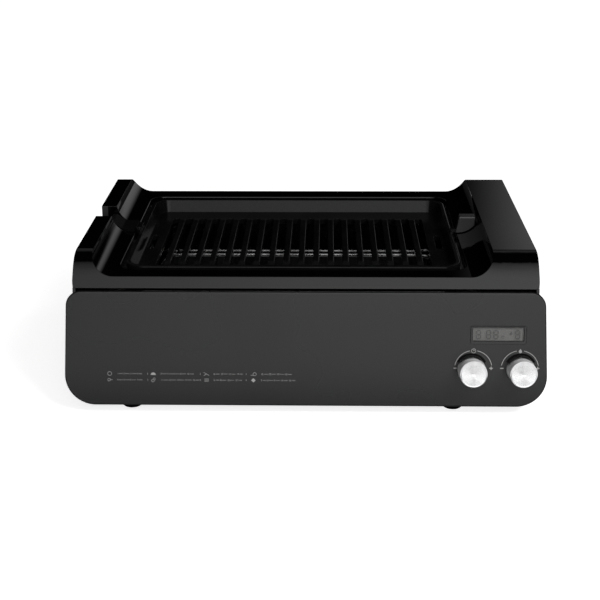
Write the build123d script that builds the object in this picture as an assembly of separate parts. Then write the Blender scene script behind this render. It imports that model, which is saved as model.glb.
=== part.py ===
from build123d import *
from math import atan2, cos, degrees, hypot, radians, sin, sqrt
import os

# Smokeless indoor grill. Millimetres, +Z up, +X to the right of the user, +Y away from the user.
# While it is modelled, Y is zero at the front edge of the gloss deck. The end of this file
# moves everything so that the origin is under the middle of the whole object.

# Body
left_block_width = 42.5
right_block_width = 70.5
front_deck_reach = 22.0
rear_deck_reach = 30.0
rear_lip_reach = 4.7
front_lip_reach = 6.75
lip_drop = 10.6
wall = 3.0
corner_radius = 4.5
foot_corner_radius = 20.0
foot_height = 12.0
body_height = 134.0
parting_gap = 1.0
tongue_height = 5.0
block_rise = 20.5
block_front_run = 30.0
block_rear_radius = 20.0
ramp_radius = 24.5
ramp_margin = 2.5
side_draft = 0.8
notch_shift = 7.0
notch_length = 38.0
overrun = 10.0
touch = 0.001

# Recess in the deck and the well below it
recess_side_margin = 3.5
recess_end_margin = 10.0
recess_corner = 18.0
recess_drop = 6.0
recess_edge_radius = 1.6

# Front panel
panel_top_overhang = 6.0
panel_foot_overhang = 12.0
panel_top_gap = 2.4
panel_setback = 22.0
panel_foot_reach = 32.0
panel_foot_corner = 32.0
panel_top_corner = 16.0
panel_wall = 3.0
panel_thickness = 6.0
panel_edge_radius = 1.5
panel_back_inset = 2.0
panel_boss_radius = 5.0
panel_screw_inset = 20.0
panel_screw_length = 5.0

# Grill plate
plate_opening_width = 353.0
plate_opening_depth = 238.0
plate_corner = 16.0
plate_bead = 5.0
plate_bead_height = 5.0
plate_wall = 2.5
plate_sink = 11.3
plate_floor_inset = 3.5
plate_floor_thickness = 6.0
bar_rise = 3.0
slot_count = 19
slot_side_margin = 19.8
slot_end_margin = 27.5
bar_width = 7.2
bar_end_slope = 13.0
bar_edge_radius = 1.2
end_slot_width = 7.3
end_slot_length = 47.0
end_slot_inset = 7.0

# Lift tabs
tab_strap_thickness = 3.0
tab_strap_lift = 0.8
tab_clearance = 1.0
lug_reach = 6.0
right_tab_thickness = 10.0
right_tab_shift = -6.0
right_tab_lean = 3.7
right_tab_width = 17.3
right_tab_edge_radius = 2.5
left_tab_length = 32.0
left_tab_reach = 16.0
left_tab_upturn = 10.0
left_tab_rise = 12.0
left_tab_corner = 2.9
rivet_radius = 1.8

# Well liner and drip tray
sheet = 0.8
liner_clearance = 1.0
plate_gap = 2.5
liner_flange = 5.2
liner_corner = 19.0
liner_floor_lift = 9.0
window_margin = 5.0
window_foot = 70.0
window_top_gap = 24.0
tray_sheet = 1.0
tray_height = 51.0
tray_rim_gap = 4.0
tray_lip = 3.6
tray_corner = 22.0
tray_taper_share = 0.24

# Heaters
tube_radius = 5.0
tube_overhang = 3.0
tube_offset = 15.0
cap_radius = 7.0
cap_length = 15.0
cap_clearance = 0.05
reflector_end_gap = 31.5
reflector_lap = 4.0
reflector_depth = 26.0
reflector_flange = 6.0
bracket_thickness = 1.6
bracket_reach = 24.0
bracket_half_height = 13.0
wire_radius = 0.9
wire_count = 9
wire_gap = 0.3

# Knobs and encoders
knob_inset = 24.0
knob_spacing = 51.5
knob_height_on_panel = 41.3
knob_foot_radius = 14.6
knob_face_radius = 14.2
knob_height = 22.4
knob_gap = 1.0
knob_shell = 1.2
knob_edge = 0.9
knob_dish = 0.4
shaft_radius = 3.0
shaft_clearance = 0.05
shaft_grip = 14.0
push_travel = 0.6
push_clearance = 0.2
encoder_side = 14.0
encoder_height = 7.0
bush_radius = 4.5
plunger_height = 1.0

# Display
display_inset = 18.9
display_width = 58.1
display_height = 19.3
display_middle_height = 77.8
display_corner = 2.5
display_fit = 0.1
bezel_side = 2.4
bezel_window_lift = 0.8
bezel_depth = 5.0
bezel_proud = 0.35
lens_thickness = 1.4
lens_recess = 0.5

# Control board behind the panel
board_thickness = 1.6
board_inset = 11.5
board_knob_reach = 17.0
board_foot = 18.0
board_height = 76.0
board_post_inset = 4.0
board_post_radius = 3.5

# Feet
foot_left_inset = 30.5
foot_right_inset = 59.5
foot_offset = 16.0
foot_radius = 10.6
foot_top_radius = 10.8
foot_recess_radius = 5.0
foot_recess_height = 6.0
foot_edge_radius = 0.8

# Screws
screw_radius = 1.5
screw_head_radius = 2.9
screw_head_height = 2.0
screw_clearance = 0.1
screw_length = 10.0

# Base housing and bottom cover
pillar_radius = 5.5
pillar_bore = 4.2
pillar_web = 4.0
pillar_shares = (0.13, 0.5, 0.88)
cover_thickness = 3.0
cover_clearance = 0.3
floor_margin = 6.0
floor_front = 12.0
floor_rear_margin = 36.0
floor_corner = 12.0
liner_post_radius = 4.9
ledge_width = 8.0
ledge_thickness = 2.0
cover_screw_shares = (0.04, 0.5, 0.96)
rib_thickness = 2.0
cover_boss_height = 9.0
vent_width = 4.0
vent_pitch = 9.0
vent_count = 9
vent_length = 34.0
rear_vent_count = 8
rear_vent_height = 30.0
rear_vent_foot = 74.0
rear_vent_start = 30.0

# Power parts in the bay at the right
power_board_gap = 2.2
power_board_margin = 2.0
power_board_shift = -15.0
power_board_length = 130.0
power_board_lift = 9.0
power_post_radius = 3.5
power_post_inset = 5.0
relay_size = (19.0, 15.5, 15.0)
triac_size = (10.0, 4.5, 16.0)
terminal_size = (30.0, 13.0, 12.0)
capacitor_radius = 7.5
capacitor_height = 16.0
sink_size = (34.0, 18.0, 26.0)
sink_fin_count = 6
sink_fin_thickness = 1.4
sink_base_thickness = 4.0
cutout_radius = 8.5
cutout_height = 7.0
cutout_shift = 60.0
sensor_radius = 2.5
sensor_length = 18.0
sensor_reach = 2.8
sensor_shift = 80.0

# Mains inlet
inlet_side_inset = 114.0
inlet_lift = 40.0
inlet_width = 28.5
inlet_height = 21.0
inlet_depth = 24.0
inlet_wall = 2.2
inlet_flange_width = 50.0
inlet_flange_height = 25.0
inlet_flange_thickness = 2.5
inlet_corner = 4.0
inlet_cavity_depth = 18.0
inlet_pin_width = 2.0
inlet_pin_height = 4.0
inlet_pin_length = 13.0
inlet_pin_spacing = 7.0
inlet_pin_rise = 4.0
inlet_screw_spacing = 40.0

# Widths and depths worked out from the plate outwards
plate_rim_width = plate_opening_width + 2 * plate_bead
plate_rim_depth = plate_opening_depth + 2 * plate_bead
plate_floor_width = plate_opening_width - 2 * plate_floor_inset
plate_floor_depth = plate_opening_depth - 2 * plate_floor_inset
slot_pitch = (plate_floor_width - 2 * slot_side_margin + bar_width) / slot_count
slot_width = slot_pitch - bar_width
slot_length = plate_floor_depth - 2 * slot_end_margin
end_slot_reach = plate_floor_width / 2 - end_slot_inset

recess_width = plate_rim_width + 2 * recess_side_margin
recess_depth = plate_rim_depth + 2 * recess_end_margin
ramp_foot_half = recess_width / 2 + ramp_margin
body_width = 2 * ramp_foot_half + left_block_width + right_block_width
rear_reach = front_deck_reach + recess_depth + rear_deck_reach
cooking_shift = (left_block_width - right_block_width) / 2
cooking_depth_middle = front_deck_reach + recess_depth / 2
cooking_middle = (cooking_shift, cooking_depth_middle)
notch_front = cooking_depth_middle + notch_shift - notch_length / 2

panel_rise = body_height - lip_drop - panel_top_gap
panel_top_width = body_width + 2 * panel_top_overhang
panel_foot_width = body_width + 2 * panel_foot_overhang
panel_edge = panel_top_width / 2
display_middle = panel_edge - display_inset - display_width / 2

liner_width = plate_opening_width + 2 * plate_gap
liner_depth = plate_opening_depth + 2 * plate_gap
liner_face = liner_width / 2 + sheet
liner_post_reach = (liner_width - liner_corner) / 2
reflector_length = liner_depth - 2 * reflector_end_gap
window_length = reflector_length - 2 * window_margin
tube_length = reflector_length + 2 * tube_overhang

# Levels worked out from the sizes above
base_z = foot_height
deck_z = foot_height + body_height
parting_z = deck_z - lip_drop
base_top_z = parting_z - parting_gap
block_top_z = deck_z + block_rise
ledge_z = deck_z - recess_drop
cover_top_z = base_z + cover_thickness
window_height = ledge_z - window_top_gap - base_z - window_foot
reflector_half_height = window_height / 2 + reflector_lap

panel_tilt = degrees(atan2(panel_setback, panel_rise))
panel_length = hypot(panel_setback, panel_rise)
lean_sine = sin(radians(panel_tilt))
lean_cosine = cos(radians(panel_tilt))
panel_normal = (0, -lean_cosine, lean_sine)
panel_plane = Plane(origin=(0, -panel_foot_reach, base_z), x_dir=(1, 0, 0), z_dir=panel_normal)
knob_places = {"timer": panel_edge - knob_inset - knob_spacing, "heat": panel_edge - knob_inset}
board_left = knob_places["timer"] - board_knob_reach
board_width = panel_edge - board_inset - board_left

liner_floor_z = cover_top_z + liner_floor_lift
liner_top_z = ledge_z + sheet
plate_rim_z = liner_top_z + plate_bead_height
plate_shoulder_z = plate_rim_z - plate_sink - bar_rise
tray_foot_z = liner_floor_z + sheet
tube_z = base_z + window_foot + window_height / 2

knob_front_reach = panel_foot_reach - knob_height_on_panel * lean_sine
knob_front_reach += (knob_gap + knob_height) * lean_cosine + (knob_face_radius - knob_edge) * lean_sine
rear_most = rear_reach + inlet_flange_thickness
depth_middle = (rear_most - knob_front_reach) / 2


# General helpers
def block(xs, ys, zs):
    """A box between pairs of x, y and z values."""
    size = [high - low for low, high in (xs, ys, zs)]
    middle = [(low + high) / 2 for low, high in (xs, ys, zs)]
    return Pos(*middle) * Box(*size)


def rounded_block(middle, size, zs, radius, taper=0):
    """An upright prism with round corners; a negative taper widens it upwards."""
    outline = Pos(middle[0], middle[1], zs[0]) * RectangleRounded(size[0], size[1], radius)
    return extrude(outline, zs[1] - zs[0], taper=taper)


def upright(x, y, zs, radius):
    """A round bar standing between two heights."""
    return Pos(x, y, (zs[0] + zs[1]) / 2) * Cylinder(radius, zs[1] - zs[0])


def screw_up(x, y, seat_z, length):
    """A pan head screw whose head lies below its seat and whose shank points up."""
    head = upright(x, y, (seat_z - screw_head_height, seat_z), screw_head_radius)
    return head + upright(x, y, (seat_z, seat_z + length), screw_radius)


def screw_down(x, y, seat_z, length):
    """A pan head screw whose head lies on its seat and whose shank points down."""
    head = upright(x, y, (seat_z, seat_z + screw_head_height), screw_head_radius)
    return head + upright(x, y, (seat_z - length, seat_z), screw_radius)


def group(shapes):
    """Separate solids kept together as one node."""
    return Compound(children=list(shapes))


def on_panel(shape):
    """Moves a shape from the panel's own frame (right, up the slope, outwards) to its place."""
    return panel_plane.location * shape


# Body outline shared by the housings
body_depth = rear_reach + front_lip_reach
body_middle = (0, (rear_reach - front_lip_reach) / 2)
hole_radius = screw_radius + screw_clearance
side_reach = body_width / 2 - wall
pillar_x = side_reach - pillar_radius - rib_thickness
pillar_depths = [rear_reach * share for share in pillar_shares]
floor_half = body_width / 2 - foot_corner_radius - floor_margin
floor_rear = rear_reach - floor_rear_margin
floor_length = floor_rear - floor_front
floor_middle = (0, (floor_front + floor_rear) / 2)
cover_screw_x = floor_half - ledge_width / 2
cover_screw_depths = [floor_front + floor_length * share for share in cover_screw_shares]
power_board_left = cooking_shift + liner_face + power_board_gap
power_board_width = floor_half - ledge_width - power_board_margin - power_board_left
power_board_front = cooking_depth_middle + power_board_shift - power_board_length / 2


def corner(inset):
    """The radius of the body's upright corners, drawn inside its skin by the inset."""
    return max(corner_radius - inset, corner_radius / 4)


def side_profile(inset):
    """The top housing's outline seen from the right, drawn inside its skin by the inset."""
    slope = inset * hypot(front_lip_reach, lip_drop) / lip_drop
    top = block_top_z - inset
    rear_edge = rear_reach - rear_lip_reach
    arc_foot = (rear_edge - inset, block_top_z - block_rear_radius)
    arc_top = (rear_edge - block_rear_radius, top)
    arc_radius = block_rear_radius - inset
    arc_bend = (arc_top[0] + arc_radius * sin(radians(45)), arc_foot[1] + arc_radius * cos(radians(45)))
    deck_edge = (slope, deck_z)
    front_top = (block_front_run, top)
    lip_foot = (slope - front_lip_reach, parting_z)
    rear_foot = (rear_reach - inset, parting_z)
    outline = Line(lip_foot, deck_edge)
    outline += Spline(deck_edge, front_top, tangents=[(front_lip_reach, lip_drop), (1, 0)])
    outline += Line(front_top, arc_top)
    outline += ThreePointArc(arc_top, arc_bend, arc_foot)
    outline += Polyline(arc_foot, rear_foot, lip_foot)
    return Plane.YZ * make_face(outline)


def ramp_trough(inset):
    """The space over the deck between the two ramps, grown into the skin by the inset."""
    radius = ramp_radius + inset
    centre_z = deck_z + ramp_radius
    top = centre_z + block_rise
    left = cooking_shift - ramp_foot_half
    right = cooking_shift + ramp_foot_half
    bend = radius * sin(radians(45))
    outline = Polyline(
        (left - radius, centre_z), (left - radius, top), (right + radius, top), (right + radius, centre_z)
    )
    floor_z = centre_z - radius
    outline += ThreePointArc((right + radius, centre_z), (right + bend, centre_z - bend), (right, floor_z))
    outline += Line((right, floor_z), (left, floor_z))
    outline += ThreePointArc((left, floor_z), (left - bend, centre_z - bend), (left - radius, centre_z))
    return extrude(Plane.XZ * make_face(outline), body_depth * 2, both=True)


def housing_form(inset):
    """The solid form of the top housing without its recess, drawn inside its skin by the inset."""
    size = (body_width - 2 * inset, body_depth - inset)
    prism = rounded_block(body_middle, size, (parting_z, block_top_z + overrun), corner(inset), side_draft)
    return (prism & extrude(side_profile(inset), body_width, both=True)) - ramp_trough(inset)


def top_housing():
    """Gloss moulding: deck, recess for the plate, two side blocks with curved ramps, notch."""
    notch = (notch_front, notch_front + notch_length)
    notch_inner_x = cooking_shift - ramp_foot_half
    outside = housing_form(0)
    shell = outside - housing_form(wall)
    curb_size = (recess_width + 2 * wall, recess_depth + 2 * wall)
    curb_zs = (ledge_z - wall, deck_z - wall / 2)
    shell += rounded_block(cooking_middle, curb_size, curb_zs, recess_corner + wall)
    notch_xs = (-body_width, notch_inner_x)
    notch_walls = block(notch_xs, (notch[0] - wall, notch[1] + wall), (deck_z - wall, block_top_z))
    shell += notch_walls & outside
    boss_z = (base_top_z + parting_gap, block_top_z)
    for x in (-pillar_x, pillar_x):
        for y in pillar_depths:
            shell += upright(x, y, boss_z, pillar_radius - wall / 2) & outside
            shell -= upright(x, y, (boss_z[0], deck_z), hole_radius)
    shell -= block(notch_xs, notch, (deck_z, block_top_z + overrun))
    recess_size = (recess_width, recess_depth)
    shell -= rounded_block(cooking_middle, recess_size, (ledge_z, deck_z + overrun), recess_corner)
    mouth_grow = 2 * sheet + liner_clearance
    mouth_size = (liner_width + mouth_grow, liner_depth + mouth_grow)
    mouth_zs = (ledge_z - overrun, ledge_z + overrun)
    shell -= rounded_block(cooking_middle, mouth_size, mouth_zs, liner_corner + sheet)
    rebate_zs = (parting_z - overrun, parting_z + tongue_height / 2)
    rebate = body_form(wall / 2 - screw_clearance, rebate_zs) - body_form(wall + screw_clearance, rebate_zs)
    shell -= rebate & block((-body_width, body_width), (block_front_run, rear_reach), rebate_zs)
    recess_edges = [
        edge
        for edge in shell.edges().filter_by_position(Axis.Z, deck_z, deck_z)
        if abs(edge.center().X - cooking_shift) < recess_width / 2 + touch
        and abs(edge.center().Y - cooking_depth_middle) < recess_depth / 2 + touch
    ]
    return fillet(recess_edges, recess_edge_radius)


def panel_outline(inset):
    """The panel's face outline: a little wider at its foot, with round corners."""
    foot = panel_foot_width / 2
    top = panel_top_width / 2
    face = make_face(Polyline((-foot, 0), (foot, 0), (top, panel_length), (-top, panel_length), close=True))
    face = fillet(face.vertices().group_by(Axis.Y)[0], panel_foot_corner)
    face = fillet(face.vertices().group_by(Axis.Y)[-1], panel_top_corner)
    return offset(face, -inset) if inset else face


panel_screw_height_shares = (0.2, 0.82)
panel_screw_middle_share = -0.2
panel_screw_columns = (
    panel_screw_inset - panel_edge,
    panel_edge * panel_screw_middle_share,
    board_left - panel_screw_inset,
)
panel_screws_at = [
    (x, panel_length * height_share)
    for x in panel_screw_columns
    for height_share in panel_screw_height_shares
]
board_posts_at = [
    (x, height)
    for x in (board_left + board_post_inset, board_left + board_width - board_post_inset)
    for height in (board_foot + board_post_inset, board_foot + board_height - board_post_inset)
]
board_face = -(panel_wall + bezel_depth + encoder_height / 2)


def front_panel():
    """Fascia moulding: hollow behind, with bosses for its screws and posts for the board."""
    shell = extrude(panel_outline(0), -panel_thickness)
    shell = fillet(shell.faces().sort_by(Axis.Z)[-1].edges(), panel_edge_radius)
    shell -= Pos(0, 0, -panel_wall) * extrude(panel_outline(panel_wall), -panel_thickness)
    for x, height in panel_screws_at:
        boss = Pos(x, height, -(panel_wall + panel_thickness) / 2)
        shell += boss * Cylinder(panel_boss_radius, panel_thickness - panel_wall)
        shell -= boss * Cylinder(hole_radius, panel_thickness - panel_wall)
    for x, height in board_posts_at:
        post = Pos(x, height, (board_face - panel_wall) / 2)
        shell += post * Cylinder(board_post_radius, -board_face - panel_wall)
        shell -= post * Cylinder(hole_radius, -board_face - panel_wall)
    for x in knob_places.values():
        shell -= Pos(x, knob_height_on_panel, 0) * Cylinder(bush_radius + screw_clearance, overrun)
    window_size = (display_width + 2 * display_fit, display_height + 2 * display_fit)
    window = RectangleRounded(*window_size, display_corner)
    shell -= Pos(display_middle, display_middle_height, -overrun) * extrude(window, 2 * overrun)
    return on_panel(shell) - under_floor()


def body_form(inset, zs):
    """The lower body between two heights, drawn inside its skin, with round lower side edges."""
    depth = body_depth + 2 * panel_foot_reach
    middle = (0, rear_reach - depth / 2)
    size = (body_width - 2 * inset, depth - 2 * inset)
    prism = rounded_block(middle, size, zs, corner(inset))
    section = Pos(0, (base_z + block_top_z + inset) / 2) * Rectangle(size[0], block_top_z - base_z - inset)
    section = fillet(section.vertices().group_by(Axis.Y)[0], foot_corner_radius - inset)
    return prism & extrude(Plane.XZ * section, 2 * depth, both=True)


def floor_opening(grow, zs):
    """The opening in the floor of the body, grown outwards."""
    size = (2 * (floor_half + grow), floor_length + 2 * grow)
    return rounded_block(floor_middle, size, zs, floor_corner + min(grow, 0))


def under_floor():
    """Everything below the flat underside of the body."""
    return block((-body_width, body_width), (-body_width, body_width), (-body_width, base_z))


def base_housing():
    """Lower body shell: round-edged walls and floor rim, front plate for the panel, pillars, vents."""
    outer = body_form(0, (base_z, base_top_z))
    shell = outer - body_form(wall, (cover_top_z, base_top_z))
    ledge_zs = (cover_top_z, cover_top_z + ledge_thickness)
    shell += floor_opening(ledge_width / 2, ledge_zs)
    shell -= floor_opening(0, (base_z, cover_top_z))
    shell -= floor_opening(-ledge_width, ledge_zs)
    tongue_zs = (base_top_z - tongue_height, base_top_z + tongue_height / 2)
    tongue = body_form(wall / 2, tongue_zs) - body_form(wall, tongue_zs)
    shell += tongue & block((-body_width, body_width), (block_front_run + overrun, rear_reach), tongue_zs)
    for side in (-1, 1):
        x = side * pillar_x
        rib_xs = sorted((x, side * (side_reach + wall / 2)))
        for y in pillar_depths:
            pillar = upright(x, y, (base_z, base_top_z), pillar_radius)
            rib_ys = (y - rib_thickness / 2, y + rib_thickness / 2)
            pillar += block(rib_xs, rib_ys, (base_z, base_top_z - tongue_height))
            shell += pillar & outer
            shell -= upright(x, y, (base_z, base_top_z - pillar_web), pillar_bore)
            shell -= upright(x, y, (base_top_z - pillar_web, base_top_z), hole_radius)
        for y in cover_screw_depths:
            boss_zs = (cover_top_z, cover_top_z + cover_boss_height)
            shell += upright(side * cover_screw_x, y, boss_zs, ledge_width / 2)
            shell -= upright(side * cover_screw_x, y, boss_zs, hole_radius)
    in_front = Pos(0, 0, body_depth / 2 - panel_thickness) * Box(body_width * 2, body_width * 2, body_depth)
    shell -= on_panel(in_front)
    plate = Pos(0, 0, -panel_thickness) * extrude(panel_outline(panel_back_inset), -wall)
    middle_z = -panel_thickness - wall / 2
    window_at = (board_left + board_width / 2, board_foot + board_height / 2, middle_z)
    plate -= Pos(*window_at) * Box(board_width + wall, board_height + wall, wall)
    for x, height in panel_screws_at:
        plate -= Pos(x, height, middle_z) * Cylinder(hole_radius, wall)
    shell += on_panel(plate) - under_floor()
    for x, y in foot_places.values():
        shell -= upright(x, y, (base_z, cover_top_z), hole_radius)
    shell -= inlet_opening()
    vent_ys = (rear_reach - wall - overrun, rear_reach + overrun)
    vent_zs = (base_z + rear_vent_foot, base_z + rear_vent_foot + rear_vent_height)
    for index in range(rear_vent_count):
        for side in (-1, 1):
            x = side * (rear_vent_start + index * vent_pitch)
            shell -= block((x - vent_width / 2, x + vent_width / 2), vent_ys, vent_zs)
    return shell


foot_places = {
    "front_left": (foot_left_inset - floor_half, floor_front - foot_offset),
    "front_right": (floor_half - foot_right_inset, floor_front - foot_offset),
    "rear_left": (foot_left_inset - floor_half, floor_rear + foot_offset),
    "rear_right": (floor_half - foot_right_inset, floor_rear + foot_offset),
}
liner_screws_at = [
    (cooking_shift + side * liner_post_reach, cooking_depth_middle + end * liner_depth / 4)
    for side in (-1, 1)
    for end in (-1, 1)
]
power_posts_at = [
    (x, y)
    for x in (power_board_left + power_post_inset, power_board_left + power_board_width - power_post_inset)
    for y in (power_board_front + power_post_inset, power_board_front + power_board_length - power_post_inset)
]


def bottom_cover():
    """Flat moulded floor with vents, seats for the feet, and posts for the liner and the board."""
    cover = floor_opening(-cover_clearance, (base_z, cover_top_z))
    for x, y in liner_screws_at:
        cover += upright(x, y, (cover_top_z, liner_floor_z), liner_post_radius)
        cover -= upright(x, y, (base_z, liner_floor_z), hole_radius)
    for x, y in power_posts_at:
        cover += upright(x, y, (cover_top_z, cover_top_z + power_board_lift), power_post_radius)
        cover -= upright(x, y, (base_z + wall / 2, cover_top_z + power_board_lift), hole_radius)
    for x in (-cover_screw_x, cover_screw_x):
        for y in cover_screw_depths:
            seat_zs = (base_z, base_z + cover_thickness / 2)
            cover -= upright(x, y, (base_z, cover_top_z), hole_radius)
            cover -= upright(x, y, seat_zs, screw_head_radius + screw_clearance)
    vent_zs = (base_z - overrun, cover_top_z + overrun)
    vent_reach = liner_post_reach - 2 * liner_post_radius - vent_length / 2
    for index in range(vent_count):
        y = cooking_depth_middle + (index - (vent_count - 1) / 2) * vent_pitch * 2
        for side in (-1, 1):
            middle = cooking_shift + side * vent_reach
            xs = (middle - vent_length / 2, middle + vent_length / 2)
            cover -= block(xs, (y - vent_width / 2, y + vent_width / 2), vent_zs)
    return cover


def foot(x, y):
    """A turned rubber foot with a sunk seat for its screw."""
    outline = Polyline(
        (hole_radius, foot_height),
        (foot_top_radius, foot_height),
        (foot_radius, foot_edge_radius),
        (foot_radius - foot_edge_radius, 0),
        (foot_recess_radius, 0),
        (foot_recess_radius, foot_recess_height),
        (hole_radius, foot_recess_height),
        close=True,
    )
    return Pos(x, y, 0) * revolve(Plane.XZ * make_face(outline), Axis.Z)


# Grill plate and its lift tabs
def plate_cavity(grow, floor_z, top_z):
    """The tray form of the plate: narrower at its floor, grown outwards by a wall."""
    slope = plate_floor_inset / (plate_sink + bar_rise)
    taper = -degrees(atan2(slope, 1))
    spread = 2 * slope * (plate_rim_z - floor_z)
    size = (plate_opening_width + 2 * grow - spread, plate_opening_depth + 2 * grow - spread)
    radius = plate_corner + grow - plate_floor_inset
    return rounded_block(cooking_middle, size, (floor_z, top_z), radius, taper)


def bar_ridge(x):
    """The raised top of one bar, sloped at both ends and rounded along both sides."""
    half = slot_length / 2
    front = cooking_depth_middle - half
    rear = cooking_depth_middle + half
    foot_z = plate_shoulder_z - plate_floor_thickness / 2
    top_z = plate_shoulder_z + bar_rise
    outline = Polyline(
        (front, foot_z), (front, plate_shoulder_z), (front + bar_end_slope, top_z),
        (rear - bar_end_slope, top_z), (rear, plate_shoulder_z), (rear, foot_z), close=True,
    )
    ridge = Pos(x, 0, 0) * extrude(Plane.YZ * make_face(outline), bar_width / 2, both=True)
    top_face = ridge.faces().filter_by(Axis.Z).sort_by(Axis.Z)[-1]
    return fillet(top_face.edges().filter_by(Axis.Y), bar_edge_radius)


def grill_plate():
    """Cast non-stick plate: beaded rim, tapered tray, sloping shoulders, and bars between open slots."""
    rim_zs = (liner_top_z, plate_rim_z)
    rim_size = (plate_rim_width, plate_rim_depth)
    plate = rounded_block(cooking_middle, rim_size, rim_zs, plate_corner + plate_bead)
    plate = fillet(plate.faces().sort_by(Axis.Z)[-1].edges(), plate_bead / 3)
    floor_z = plate_shoulder_z - plate_floor_thickness
    plate += plate_cavity(plate_wall, floor_z, plate_rim_z - plate_bead / 2)
    plate -= plate_cavity(0, plate_shoulder_z, plate_rim_z)
    places = [cooking_shift + (index - (slot_count - 1) / 2) * slot_pitch for index in range(slot_count)]
    for x in places:
        slot = Pos(x, cooking_depth_middle, floor_z) * SlotOverall(slot_length, slot_width, rotation=90)
        plate -= extrude(slot, plate_floor_thickness + bar_rise)
    for side in (-1, 1):
        end_slot = Pos(cooking_shift + side * end_slot_reach, cooking_depth_middle, floor_z)
        end_slot *= SlotOverall(end_slot_length, end_slot_width, rotation=90)
        plate -= extrude(end_slot, plate_floor_thickness + bar_rise)
    for x in places[:-1]:
        plate += bar_ridge(x + slot_pitch / 2)
    for side in (-1, 1):
        plate += plate_lug(side)
    return plate


strap_zs = (deck_z + tab_strap_lift, deck_z + tab_strap_lift + tab_strap_thickness)
right_tab_middle = cooking_depth_middle + right_tab_shift
left_tab_middle = notch_front + notch_length / 2
rivet_reach = (recess_width + lug_reach) / 2


def plate_lug(side):
    """A cast lug from the rim outwards over the recess's edge, drilled for the tab's rivets."""
    middle = right_tab_middle if side > 0 else left_tab_middle
    half_length = right_tab_thickness / 2 if side > 0 else left_tab_length / 2 - plate_bead
    half_length -= tab_clearance
    inner = cooking_shift + side * (plate_rim_width / 2 - plate_bead / 2)
    outer = cooking_shift + side * (recess_width / 2 + lug_reach)
    xs = (min(inner, outer), max(inner, outer))
    ys = (middle - half_length, middle + half_length)
    riser = (min(inner, inner + side * plate_bead / 2), max(inner, inner + side * plate_bead / 2))
    lug = block(xs, ys, strap_zs) + block(riser, ys, (plate_rim_z - plate_bead_height / 2, strap_zs[1]))
    for y in rivet_depths(side):
        lug -= upright(cooking_shift + side * rivet_reach, y, strap_zs, rivet_radius + screw_clearance)
    return lug


def rivet_depths(side):
    """Where the rivets of one tab stand: one in the narrow right tab, two in the wide left one."""
    if side > 0:
        return [right_tab_middle]
    return [left_tab_middle - left_tab_length / 5, left_tab_middle + left_tab_length / 5]


def lift_tab_right():
    """Upright heat-proof tab that fills the corner between the ramp and the recess."""
    foot_x = cooking_shift + recess_width / 2
    top_z = block_top_z
    radius = ramp_radius - tab_clearance
    centre = (cooking_shift + ramp_foot_half, deck_z + ramp_radius)
    ramp_end_x = foot_x + right_tab_lean + right_tab_width
    reach = ramp_end_x - centre[0]
    ramp_end_z = centre[1] - sqrt(radius**2 - reach**2)
    foot_z = deck_z + tab_clearance
    half_angle = atan2(reach, centre[1] - ramp_end_z) / 2
    bend = (centre[0] + radius * sin(half_angle), centre[1] - radius * cos(half_angle))
    outline = Polyline(
        (centre[0], foot_z), (foot_x, foot_z), (foot_x + right_tab_lean, top_z), (ramp_end_x, top_z)
    )
    outline += Line((ramp_end_x, top_z), (ramp_end_x, ramp_end_z))
    outline += ThreePointArc((ramp_end_x, ramp_end_z), bend, (centre[0], foot_z))
    face = Plane.XZ * make_face(outline)
    tab = Pos(0, right_tab_middle, 0) * extrude(face, right_tab_thickness / 2, both=True)
    front_top = tab.faces().sort_by(Axis.Z)[-1].edges().filter_by(Axis.X).sort_by(Axis.Y)[0]
    return fillet(front_top, right_tab_edge_radius) - tab_socket(1)


def lift_tab_left():
    """Low heat-proof paddle in the open notch, turned up at its outer end."""
    foot_x = cooking_shift - recess_width / 2
    turn_x = foot_x - left_tab_reach
    end_x = turn_x - left_tab_upturn
    foot_z = deck_z + tab_strap_lift / 2
    top_z = strap_zs[1] + tab_strap_lift
    end_z = deck_z + left_tab_rise
    outline = Polyline(
        (foot_x, foot_z), (foot_x, top_z), (turn_x, top_z), (end_x, end_z),
        (end_x - left_tab_upturn / 2, end_z), (turn_x - left_tab_upturn / 2, foot_z), close=True,
    )
    tab = Pos(0, left_tab_middle, 0) * extrude(Plane.XZ * make_face(outline), left_tab_length / 2, both=True)
    tab = fillet(tab.edges().filter_by(Axis.Z), left_tab_corner)
    return tab - tab_socket(-1)


def tab_socket(side):
    """The slot in a tab that its lug fills, with the rivet holes."""
    lug = plate_lug(side)
    box = lug.bounding_box()
    inner = cooking_shift + side * recess_width / 2
    outer = box.max.X if side > 0 else box.min.X
    xs = (min(inner, outer) - (overrun if side > 0 else 0), max(inner, outer) + (overrun if side < 0 else 0))
    socket = block(xs, (box.min.Y, box.max.Y), strap_zs)
    for y in rivet_depths(side):
        zs = (deck_z, strap_zs[1])
        socket += upright(cooking_shift + side * rivet_reach, y, zs, rivet_radius + screw_clearance)
    return socket


def tab_rivets():
    """Rivets, set from below, that hold the tabs to the lugs of the plate."""
    rivets = []
    for side in (-1, 1):
        for y in rivet_depths(side):
            zs = (strap_zs[0] - tab_strap_lift / 2, strap_zs[1])
            rivets.append(upright(cooking_shift + side * rivet_reach, y, zs, rivet_radius))
    return group(rivets)


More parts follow.
